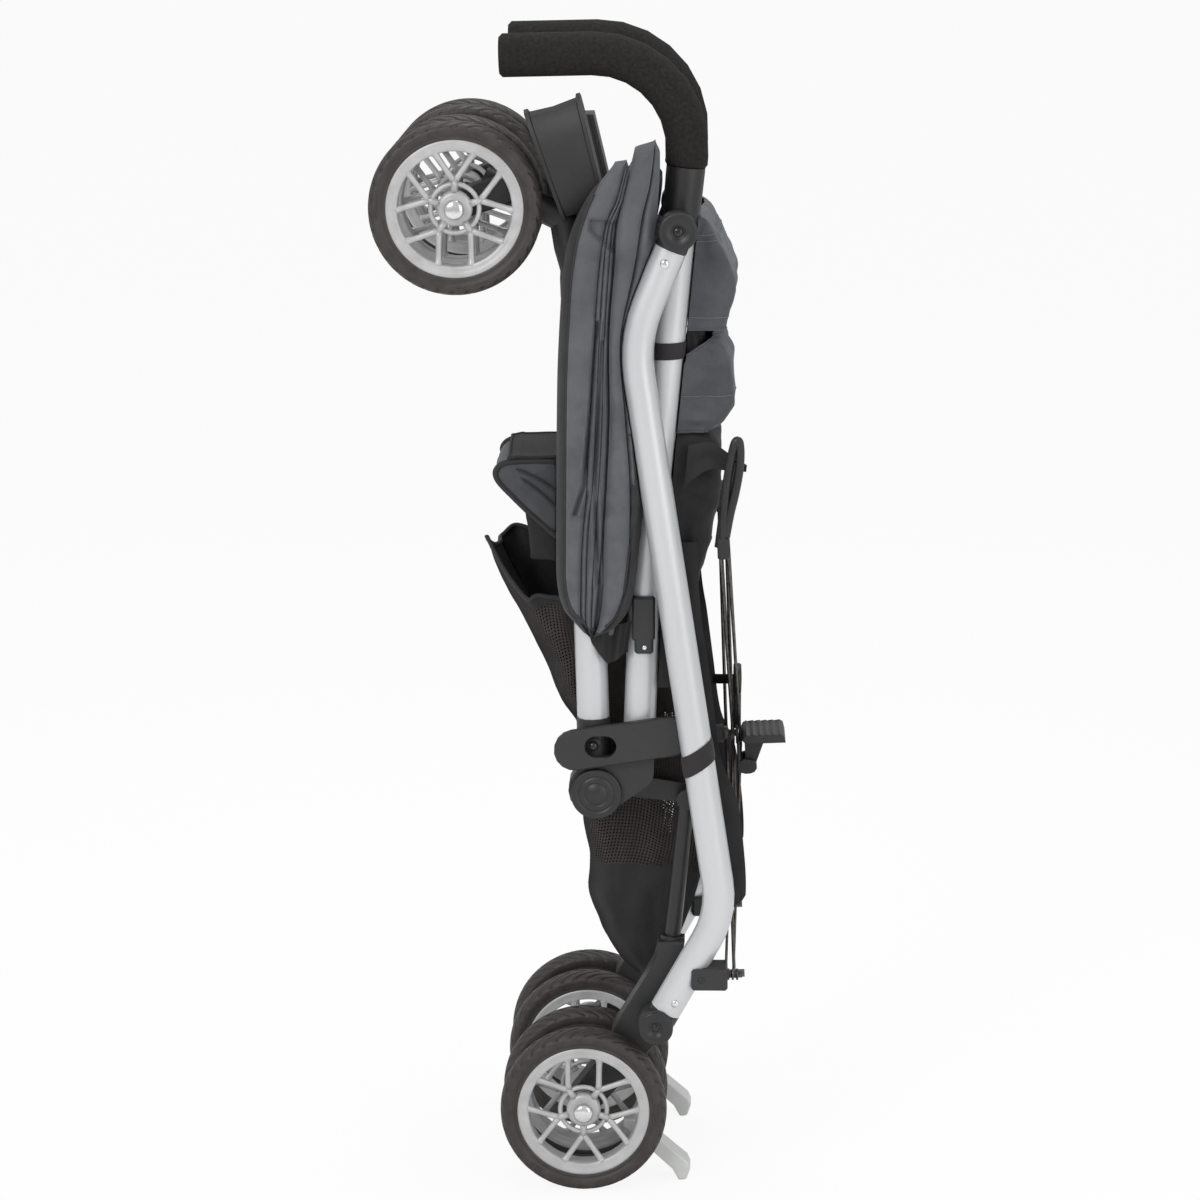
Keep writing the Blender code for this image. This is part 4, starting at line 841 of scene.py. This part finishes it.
def basket_point(spot, v):
    forward, across, rim = spot
    z = mix(rim, BASKET_EDGE[0][0], v)
    front, rear = spline(BASKET_EDGE, z)
    depth = rear - front
    x = mix(rear, front, forward)
    nose = ease(0.0, 0.020, x - front)
    half = BASKET_SIDE * mix(0.78, 1.0, nose) * mix(1.0, 0.86, ease(0.6, 1.0, v))
    sag = 0.0035 * wave(x * 28, z * 14, across * 3) + 0.0016 * wave(x * 80, z * 42, across * 7)
    sag += 0.0040 * ease(0.35, 0.8, v) * wave(x * 46, z * 17, across * 2 + 5)
    slack = 0.006 * math.sin(math.pi * min(1.0, v * 1.1)) * math.sin(math.pi * forward)
    y = across * (half - slack) + across * sag
    if forward == 1.0:
        x += 0.0012 * wave(across * 3, z * 60, 4) + 0.0030 * (1 - across ** 2) * min(1.0, depth / 0.05)
    return Vector((x, y, z))


def make_basket():
    spots = basket_spots()
    rows = []
    for i in range(BASKET_ROWS + 1):
        v = (i / BASKET_ROWS) ** 1.15
        rows.append([basket_point(spot, v) for spot in spots])
    for shrink in (0.6, 0.25, 0.02):
        low = rows[BASKET_ROWS]
        middle = sum(low, Vector()) / len(low)
        rows.append([Vector((mix(middle.x, p.x, shrink), mix(0, p.y, shrink), p.z - 0.001)) for p in low])

    def weave(i, j):
        p = rows[i][j]
        edge = p.x - spline(BASKET_EDGE, p.z)[0]
        hem = (rows[0][j] - p).length < 0.008
        in_spot = any(math.hypot((p.x - x) / a, (p.z - z) / b) < 1 for x, z, a, b in NET_SPOTS)
        lining = spots[j][1] > -0.5 and not in_spot
        plain = hem or lining or edge < 0.007 or p.z < PLAIN_Z + 0.10 * max(0.0, 0.03 - p.x)
        return 0 if plain else 1

    bag = skin("basket_bag", rows, ["cloth", "net"], wrap=True, pick=weave)
    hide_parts("basket")
    rim = [basket_point(spot, 0.0) + Vector((0, 0, 0.0006)) for spot in spots]
    binding = tube("basket_binding", rim + rim[:1], 0.0020, "binding")
    for piece in (bag, binding):
        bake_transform(piece)


# Leg rest

REST_HALF = 0.067
PAD_OUTLINE = mm(
    (-23.5, 667), (-42, 667.2), (-60, 666.5), (-71.5, 664.5), (-77.5, 659.5), (-78.5, 653.5), (-74.5, 646),
    (-64, 635), (-52, 623), (-38, 610.5), (-23.5, 597.5))
PANEL_OUTLINE = mm(
    (-23.5, 606), (-38, 619), (-51.5, 622), (-49.5, 604), (-47.5, 585), (-46.5, 576.5), (-35, 575.5),
    (-23.5, 574))
REST_SEAMS = (mm((-60, 660), (-42, 652), (-23.5, 640)), mm((-56, 652), (-40, 640), (-23.5, 624)))
END_ROWS = 8


def smooth_outline(points, steps):
    """An open outline with more points on the same smooth curve."""
    keyed = [(float(i), *p) for i, p in enumerate(points)]
    count = (len(points) - 1) * steps
    return [tuple(spline(keyed, i / steps)) for i in range(count + 1)]


def cushion(name, outline, half, crown, groove, look):
    """A stuffed piece: its side outline across the object, with crowned ends that pull in at the seam."""
    outline = smooth_outline(outline, 4)
    middle_x = sum(p[0] for p in outline) / len(outline)
    middle_z = sum(p[1] for p in outline) / len(outline)
    shares = [i / END_ROWS for i in range(END_ROWS)]
    cap = [(-half - crown * math.sin(math.pi / 2 * (1 - share)), share) for share in shares]
    stations = cap + [(y, 1.0) for y in spread(-half, half, 30)]
    stations += [(-y, share) for y, share in cap[::-1]]
    rows = []
    for y, share in stations:
        full = 1.0 + 0.05 * math.cos(math.pi * y / (2 * half)) if abs(y) < half else 1.0
        depth = groove * math.exp(-((abs(y) - half * 0.97) / 0.002) ** 2)
        reach = max(0.03, math.sin(math.pi / 2 * share)) * full * (1 - depth)
        row = []
        for x, z in outline:
            lift = 0.0011 * wave(x * 60, y * 45, z * 60) if share == 1.0 else 0.0
            row.append(Vector((mix(middle_x, x, reach) + lift, y, mix(middle_z, z, reach) + lift)))
        rows.append(row)
    pad = skin(name, rows, [look], wrap=True)
    close_ends(pad)
    return pad


def rest_fabric(piece):
    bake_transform(piece)


def make_leg_rest():
    pad = cushion("leg_rest_pad", PAD_OUTLINE, REST_HALF - 0.004, 0.005, 0.05, "slate")
    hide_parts("leg_rest")
    panel = cushion("leg_rest_panel", PANEL_OUTLINE, REST_HALF - 0.006, 0.004, 0.03, "cloth")
    rest_fabric(pad)
    rest_fabric(panel)
    for side, s in SIDES.items():
        edge = line_at(smooth_outline(PAD_OUTLINE, 4), s * (REST_HALF - 0.002))
        bound = tube("leg_rest_binding_" + side, edge, 0.0026, "binding", 10)
        mount(bound, "front_" + side)
        for k, seam in enumerate(REST_SEAMS):
            path = line_at(smooth_outline(seam, 5), s * (REST_HALF + 0.0005))
            fold = tube(f"leg_rest_fold_{side}{k + 1}", path, [0.0006] + [0.0016] * 10, "binding")
            mount(fold, "front_" + side)
    make_rest_flap()


def rest_flap_point(t, q):
    x = mix(-0.0230, -0.0665 - 0.003 * t, q)
    y = mix(-REST_HALF, REST_HALF, t)
    droop = -0.0022 * ease(0.75, 1.0, q) + 0.0012 * wave(x * 30, y * 22, 6.0)
    hem = 0.0006 if q > 0.78 else 0.0
    return Vector((x, y, 0.6705 + droop + hem))


def make_rest_flap():
    """The stiff flap above the leg rest, with a stitched hem along its front."""
    rows = grid(24, 19, rest_flap_point)
    flap = skin("leg_rest_flap", rows, ["cloth"])
    rest_fabric(flap)
    edge = rows[0] + [row[-1] for row in rows[1:]] + rows[-1][-2::-1]
    rest_fabric(tube("leg_rest_flap_binding", edge, 0.0014, "cloth"))


# Seat

SEAT_HALF = 0.093
FACE_SHARE = 0.70
SEAT_COLUMNS = 72
UPPER_PROFILE = mm(
    (103.5, 890), (109.5, 886.5), (116, 874), (126, 854), (134.5, 836), (135, 820), (131, 805),
    (126.5, 790))
MIDDLE_PROFILE = mm(
    (114, 780), (122, 778.5), (128.5, 770), (132, 756), (133.5, 738), (134.5, 721), (129, 709), (119, 701),
    (112, 698))
LOWER_PROFILE = mm(
    (110, 800), (112, 785), (113, 765), (113, 730), (117, 702), (122.5, 685), (124, 660), (122, 640),
    (116, 615), (108, 570), (100, 525), (90, 485), (82, 465))
HEM_R = 0.0012
THREAD_R = 0.0004
UNDER_GAP = 0.008
GAP_OPEN = 0.013


def seat_point(x, z, q, wrinkle, seed, inset=0.0):
    """A point of the folded seat cloth. Its sides turn forward and end against the push tubes."""
    side = -1 if q < 0 else 1
    t = max(0.0, (abs(q) - FACE_SHARE) / (1 - FACE_SHARE))
    y = side * (SEAT_HALF - 0.014) * min(1.0, abs(q) / FACE_SHARE)
    y += side * 0.014 * math.sin(math.pi / 2 * min(1.0, t * 2.4))
    tube_rear = x_on(PUSH_LINE, z) + TUBE_R + 0.0010
    forward = max(0.0, t - 0.12) / 0.88
    place_x = mix(x, min(x, tube_rear), forward)
    folds = wrinkle * (wave(y * 32, z * 58, seed) + 0.5 * wave(y * 75 + place_x * 60, z * 110, seed + 2))
    sag = 0.010 * math.cos(math.pi * q / 2) * wave(y * 9, z * 12, seed + 9)
    keep = math.sin(math.pi * min(1.0, 1.1 * (1 - forward)) / 2)
    dent = 0.006 * wave(place_x * 60, z * 62, seed + 5) * math.sin(math.pi * min(1.0, t))
    shift = inset * (1 - forward)
    z -= GAP_OPEN * forward * ease(0.755, 0.778, z) * (1 - ease(0.783, 0.787, z))
    y -= side * inset * ease(0.5, 0.8, abs(q))
    return Vector((place_x + (folds + sag) * keep - shift, y - side * abs(dent), z + 0.4 * folds))


def folded_sheet(name, profile, look, wrinkle, seed, inset=0.0):
    outline = smooth_outline(profile, 7)
    columns = spread(-1.0, 1.0, SEAT_COLUMNS)
    rows = []
    for x, z in outline:
        shift = inset * ease(0.685, 0.705, z)
        rows.append([seat_point(x, z, q, wrinkle, seed, shift) for q in columns])
    return skin(name, rows, [look]), rows


def seat_fabric(piece):
    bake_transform(piece)


def make_seat():
    upper, upper_rows = folded_sheet("seat_upper", UPPER_PROFILE, "slate", 0.0020, 3.0)
    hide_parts("seat_back")
    middle, middle_rows = folded_sheet("seat_middle", MIDDLE_PROFILE, "slate", 0.0026, 6.0)
    lower, _ = folded_sheet("seat_lower", LOWER_PROFILE, "cloth", 0.0028, 8.0, UNDER_GAP)
    for sheet in (upper, middle, lower):
        seat_fabric(sheet)
    for k, row in enumerate((upper_rows[-1], middle_rows[-1], middle_rows[0])):
        seat_fabric(tube("seat_hem_" + str(k + 1), row, HEM_R, "slate"))
    for k, row in enumerate((upper_rows[14], upper_rows[16], upper_rows[44], middle_rows[31])):
        seam = [p + (p - Vector((0.09, 0, p.z))).normalized() * THREAD_R for p in row]
        seat_fabric(tube("seat_seam_" + str(k + 1), seam, THREAD_R, "thread", 6))
    make_pull_strap()


STRAP_PLACES = mm((95, 688), (115, 690), (133, 679), (147, 670))


def make_pull_strap():
    """The wide strap that runs from the seat's back to the brace lever."""
    rows = []
    line = smooth_outline(STRAP_PLACES, 6)
    for k, (x, z) in enumerate(line):
        width = mix(0.040, 0.006, (k / (len(line) - 1)) ** 0.7)
        drops = [width * j / 8 for j in range(9)]
        rows.append([Vector((x - 0.1 * drop, -0.1000 - 0.0012 * math.sin(j), z - drop))
                     for j, drop in enumerate(drops)])
    strap = skin("pull_strap", rows, ["cloth"])
    mount(strap, "push_left")


# Basket tail

TAIL_TOP = mm((6, 518), (20, 523), (33, 526), (44, 528))
TAIL_LOW = mm((9, 508), (23, 491), (33, 496), (41.5, 501))


def tail_point(v, share):
    q = share * 3
    k = min(2, int(q))
    high = Vector(TAIL_TOP[k]).lerp(Vector(TAIL_TOP[k + 1]), q - k)
    low = Vector(TAIL_LOW[k]).lerp(Vector(TAIL_LOW[k + 1]), q - k)
    spot = high.lerp(low, v)
    fold = 0.0022 * math.sin(q * 5.0 + v * 2.0)
    return Vector((spot.x, -0.1050 + fold, spot.y - 0.002 * math.sin(math.pi * q / 3) * v))


def make_tail():
    """The loose end of black cloth that shows under the canopy on the near side."""
    tail = skin("basket_tail", grid(12, 24, tail_point), ["cloth"])
    mount(tail, "front_left")


# Straps, rivets and caps

ACROSS = (0, 1, 0)
REARWARD = (1, 0, 0)


def band(name, line, y, low, high, tilt, radius, body):
    """A flat webbing loop round a tube, higher at the rear by tilt."""
    rows = []
    for height in (0.0, 0.15, 0.5, 0.85, 1.0):
        reach = radius + (0.0006 if 0.1 < height < 0.9 else 0.0)
        row = []
        for k in range(40):
            turn = math.tau * k / 40
            z = mix(low, high, height) + tilt * 0.5 * math.cos(turn)
            row.append(Vector((x_on(line, z) + reach * math.cos(turn), y + reach * math.sin(turn), z)))
        rows.append(row)
    loop = skin(name, rows, ["webbing"], wrap=True)
    mount(loop, body)


def stud(name, x, y, z, radius, height, look, body):
    """A low domed head that looks to -Y."""
    angles = [math.pi / 2 * i / 6 for i in range(7)]
    profile = [(-height * math.sin(a), max(0.0002, radius * math.cos(a))) for a in angles]
    head = turned(name, [(0.0008, radius)] + profile, (x, y, z), ACROSS, look, 28)
    mount(head, body)


def disc(name, x, y, z, profile, look, body):
    """A turned cover that looks to -Y. The profile gives how far out and the radius."""
    cover = turned(name, [(-out, radius) for out, radius in profile], (x, y, z), ACROSS, look, 64)
    mount(cover, body)


HUB_COVER = mm(
    (-1, 22.6), (0.6, 23.2), (2, 22.8), (2.6, 21.5), (2.6, 17.2), (1.8, 16.6), (1.8, 15.6), (2.8, 15),
    (3, 11.2), (2.2, 10.6), (2.2, 9.8), (3.1, 9.2), (3.3, 0.2))
PIVOT_COVER = mm(
    (-1, 16.6), (0.4, 17), (1.4, 16.3), (1.7, 15), (1.7, 6.8), (0.2, 6), (-0.4, 4), (-0.4, 0.2))


def make_small_parts():
    band("tube_band", PUSH_LINE, -PUSH_Y, 0.764, 0.779, 0.001, TUBE_R + 0.0006, "push_left")
    band("leg_strap", LEG_LINE, -LEG_Y, 0.3970, 0.4165, 0.0180, TUBE_R + 0.0007, "root")
    stud("rivet_top", 0.0735, -LEG_Y - TUBE_R, 0.8530, 0.0040, 0.0018, "nickel", "root")
    stud("rivet_low", 0.0852, -LEG_Y - TUBE_R, 0.1800, 0.0034, 0.0016, "nickel", "root")
    disc("hub_cover", 0.0132, -0.1056, 0.3690, HUB_COVER, "satin", "push_left")
    disc("handle_pivot_cover", 0.0852, -0.1365, 0.8812, PIVOT_COVER, "satin", "root")
    stud("handle_pivot_screw", 0.0852, -0.1362, 0.8812, 0.0044, 0.0020, "gloss", "root")
    leg_cover = [(out, radius * 0.92) for out, radius in PIVOT_COVER]
    disc("leg_pivot_cover", 0.0679, -0.1355, 0.1572, leg_cover, "satin", "root")
    stud("leg_pivot_screw", 0.0679, -0.1352, 0.1572, 0.0034, 0.0012, "gloss", "root")
    stud("latch_peg_head", 0.0105, -0.1062, 0.4137, 0.0048, 0.0040, "gloss", "front_left")
    stud("clamp_screw", 0.0565, -0.1075, 0.5050, 0.0021, 0.0008, "nickel", "push_left")
    stud("bracket_screw", 0.1087, -0.1355, 0.2030, 0.0030, 0.0014, "gloss", "root")
    make_axle_caps()
    make_brace_fittings()
    make_wires()
    make_lever()
    make_rear_cloth()
    trim_far_side()


BOLT_STACK = mm(
    (130, 0.2), (130, 3), (132.5, 3), (132.5, 5.2), (134.5, 5.2), (134.5, 3.4), (136.5, 3.4), (136.5, 5.2),
    (138.5, 5.2), (138.5, 3.4), (140.5, 3.4), (140.5, 5.2), (142.5, 5.2), (142.5, 3), (146, 3),
    (146.8, 0.2))
HUB_DISC = mm(
    (118, 0.2), (118, 4.5), (137.2, 4.5), (137.2, 13.5), (138.2, 14.8), (143, 14.8), (144.5, 13.5),
    (145, 0.2))
HUB_DISC_Z = 0.4520


def make_brace_fittings():
    """The bolt with its three wire eyes at the near bracket, and the round plate above the brace's hub."""
    bolt = turned("brace_bolt_stack", BOLT_STACK, (0, -0.1180, 0.2040), REARWARD, "steel", 24)
    mount(bolt, "root")
    plate = turned("brace_hub_plate", HUB_DISC, (0, 0, HUB_DISC_Z), REARWARD, "satin")
    bar = tube("brace_hub_bar", [(0.1400, 0, 0.4060), (0.1400, 0, HUB_DISC_Z)], 0.0045, "satin", 16)
    for piece in (plate, bar):
        mount(piece, "brace_hub")


AXLE_CAP = mm((3.5, 8.8), (1, 9), (-1, 8.2), (-2.2, 6), (-2.8, 3.4), (-3, 0.2))


def make_axle_caps():
    """A bright domed cap over the end of each axle."""
    for node in [n for n in NODES if n.endswith("_outer_tyre")]:
        low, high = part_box(node)
        s = -1 if low[1] < 0 else 1
        end, _, side = node.split("_")[:3]
        place = ((low[0] + high[0]) / 2, s * 0.1372, (low[2] + high[2]) / 2)
        profile = [(-s * out, radius) for out, radius in AXLE_CAP]
        cap = turned(end + "_axle_cap_" + side, profile, place, ACROSS, "nickel", 32)
        mount(cap, ("caster_" if end == "front" else "rear_") + side)


LEVER_PATH = mm(
    (126.2, 600), (127, 630), (129.6, 660), (133.8, 684), (136.6, 693.5), (139.6, 693.5), (140.8, 684),
    (140, 668), (136.6, 648), (132, 628), (128.5, 608))
LEVER_Y = -0.1160


def make_lever():
    """The pull loop at the top of the near arm."""
    path = line_at(smooth_outline(LEVER_PATH, 4), LEVER_Y)
    mount(tube("brace_lever", path, 0.0040, "satin", 12), "brace_arm_right")


REAR_CLOTH_EDGE = mm(
    (262, 137), (267, 145), (274, 149), (318, 146.8), (366, 139.7), (398, 126.5), (449, 119), (498, 112.4),
    (523, 108.2), (564, 104.5), (600, 103))


def rear_cloth_point(s, t, q):
    z = mix(0.262, 0.600, t)
    edge = spline(REAR_CLOTH_EDGE, z)[0]
    start = min(x_on(LEG_LINE, z) - 0.004, edge - 0.012)
    fold = 0.0016 * wave(q * 2, z * 42, s)
    return Vector((mix(start, edge, q), s * (0.0995 + fold), z))


def make_rear_cloth():
    """The loose black cloth behind each rear leg, between the leg and the brace."""
    for side, s in SIDES.items():
        rows = grid(60, 12, lambda t, q: rear_cloth_point(s, t, q))
        cover = skin("rear_cloth_" + side, rows, ["cloth"])
        mount(cover, "root" if side == "left" else "leg_right")


LOWER_EYE = (0.1335, 0.204)
WIRE_MIDDLE = (0.1400, 0.390)
UPPER_EYE = (0.1262, 0.590)
WIRE_GAP = 0.0046


def wire_point(s, shift, t):
    """A point of a wire that runs from its lower eye over the middle of the brace to its upper eye."""
    start, end, share = LOWER_EYE, WIRE_MIDDLE, t * 2
    if t >= 0.5:
        start, end, share = WIRE_MIDDLE, UPPER_EYE, t * 2 - 1
    return mix(start[0], end[0], share) + shift, mix(s * 0.111, -s * 0.112, t), mix(start[1], end[1], share)


def make_wires():
    """Two thin wires beside each arm of the brace."""
    for side, s in SIDES.items():
        for k, shift in enumerate((WIRE_GAP, -WIRE_GAP * 0.5)):
            path = [wire_point(s, shift, i / 40) for i in range(41)]
            wire = tube(f"brace_wire_{side}{k + 1}", path, 0.0013, "steel", 10)
            mount(wire, "brace_arm_" + side)


FAR_LEVER_Z = 0.618
FAR_CUP_Z = 0.966


def cut_copy(node, name, height, looks):
    """A copy of a frame piece that ends at a height, with the cut closed."""
    source = NODES[node]
    bm = bmesh.new()
    bm.from_mesh(source.data)
    bm.transform(source.matrix_world)
    bmesh.ops.remove_doubles(bm, verts=bm.verts[:], dist=WELD_GAP)
    every = bm.verts[:] + bm.edges[:] + bm.faces[:]
    bmesh.ops.bisect_plane(bm, geom=every, plane_co=(0, 0, height), plane_no=(0, 0, 1), clear_outer=True)
    bmesh.ops.holes_fill(bm, edges=[e for e in bm.edges if len(e.link_faces) == 1], sides=0)
    piece = make_object(name, bm, *looks)
    piece.data.shade_smooth()
    piece.data.set_sharp_from_angle(angle=SHARP_EDGE)
    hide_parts(node)
    return piece


def trim_far_side():
    arm = cut_copy("brace_arm_left", "brace_arm_left_wire", FAR_LEVER_Z, ["steel", "satin"])
    mount(arm, "brace_arm_left")
    cup = cut_copy("front_housing_right", "front_housing_right_cup", FAR_CUP_Z, ["black"])
    mount(cup, "front_right")


# Wheels

WHEEL_COLUMNS = 34
GROOVE_SHARES = ((0.0, 0), (0.32, 0), (0.60, 0), (0.66, 1), (0.86, 1), (0.92, 0))
TYRE_HALF = (
    (0.0585, 0.0095, 0), (0.0605, 0.0112, 0), (0.0622, 0.0124, 0), (0.063, 0.0119, 0), (0.0637, 0.0119, 0),
    (0.0644, 0.013, 0), (0.068, 0.0138, 0), (0.0705, 0.0138, 0), (0.0728, 0.0126, 0.4), (0.0742, 0.0106, 1),
    (0.0752, 0.0084, 1), (0.0758, 0.0058, 1), (0.076, 0.003, 1), (0.0761, 0.0002, 1))
GROOVE_DEPTH = 0.0023
GROOVE_SWEEP = 26.0


def tyre_mesh():
    """A soft tyre whose tread has swept V-shaped grooves."""
    half = [(r, -y, grooved) for r, y, grooved in TYRE_HALF]
    rows = []
    for r, y, grooved in half + list(TYRE_HALF[::-1]):
        row = []
        for k in range(WHEEL_COLUMNS):
            for share, low in GROOVE_SHARES:
                sweep = GROOVE_SWEEP * min(abs(y), 0.0126)
                angle = math.tau * (k + share) / WHEEL_COLUMNS + sweep
                radius = r - GROOVE_DEPTH * grooved * low
                row.append(Vector((radius * math.cos(angle), y, radius * math.sin(angle))))
        rows.append(row)
    rows.append(rows[0])
    return rows


RIM_HALF = mm(
    (50, -7), (50.3, -9), (51.5, -10.2), (53, -10), (56, -10.8), (58.5, -11.6), (60.2, -11.2), (60.6, -9.8),
    (60, -8))
RIM_STEPS = 96
ARM_SHARES = (0.0, 0.15, 0.5, 0.82, 0.95, 1.0)
ARM_RADII = [0.0032, 0.0028, 0.0026, 0.0028, 0.0036, 0.0046]
HUB_PROFILE = mm(
    (-9.8, 0.2), (-9.8, 6), (-8.8, 7.8), (-8.8, 12), (-7.8, 15), (-3, 15.6), (6, 15), (9, 12), (9.5, 0.2))


def rim_rows():
    profile = RIM_HALF + tuple((r, -y) for r, y in RIM_HALF[::-1]) + RIM_HALF[:1]
    turns = [math.tau * k / RIM_STEPS for k in range(RIM_STEPS)]
    return [[Vector((r * math.cos(a), y, r * math.sin(a))) for a in turns] for r, y in profile]


def on_wheel(radius, degrees, y):
    return Vector((radius * math.sin(math.radians(degrees)), y, radius * math.cos(math.radians(degrees))))


def make_rim():
    """A rim with a hub, a ring round it and five forked spokes. Its outer face looks to -Y."""
    parts = [skin("rim_model", rim_rows(), ["rim"], wrap=True)]
    parts.append(turned("hub", HUB_PROFILE, (0, 0, 0), ACROSS, "rim", 48))
    round_hub = [on_wheel(0.0213, 360 * k / 48, -0.0040) for k in range(49)]
    parts.append(tube("hub_ring", round_hub, 0.0022, "rim", 10))
    for k in range(5):
        turn = 72 * k
        stem = [on_wheel(r, turn, -0.0055) for r in (0.0140, 0.0200, 0.0255)]
        parts.append(tube("stem", stem, [0.0034, 0.0029, 0.0034], "rim", 10))
        for lean in (-1, 1):
            root = on_wheel(0.0245, turn + lean * 1.5, -0.0058)
            end = on_wheel(0.0512, turn + lean * 19.5, -0.0062)
            parts.append(tube("arm", [root.lerp(end, t) for t in ARM_SHARES], ARM_RADII, "rim"))
    return parts


def merged(name, parts):
    """One mesh from several objects of one material, which are used up."""
    bm = bmesh.new()
    for part in parts:
        bm.from_mesh(part.data)
    mesh = mesh_of(name, bm)
    mesh.materials.append(parts[0].data.materials[0])
    for part in parts:
        bpy.data.objects.remove(part)
    return mesh


def make_wheels():
    tyre = merged("tyre_shape", [skin("tyre_model", tyre_mesh(), ["tyre"], wrap=True)])
    rim = merged("rim_shape", make_rim())
    for node in [n for n in NODES if n.endswith("_tyre")]:
        wheel = node.removesuffix("_tyre")
        low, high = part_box(node)
        centre = (Vector(low) + Vector(high)) / 2
        outward = centre.y < 0 if "outer" in wheel else centre.y > 0
        at_rear = "rear" in wheel
        for mesh, label, replaced in ((tyre, "_tread", node), (rim, "_spokes", wheel + "_rim")):
            obj = add_object(wheel + label, mesh)
            obj.location = centre
            obj.rotation_euler.x = math.pi if at_rear else 0.0
            obj.rotation_euler.z = math.pi if at_rear == outward else 0.0
            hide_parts(replaced)
            mount(obj, wheel)


make_camera()
make_light()
make_floor()
dress_nodes()
make_canopy()
for side, s in SIDES.items():
    canopy_piping(side, s)
make_basket()
make_leg_rest()
make_seat()
make_tail()
make_wheels()
make_small_parts()
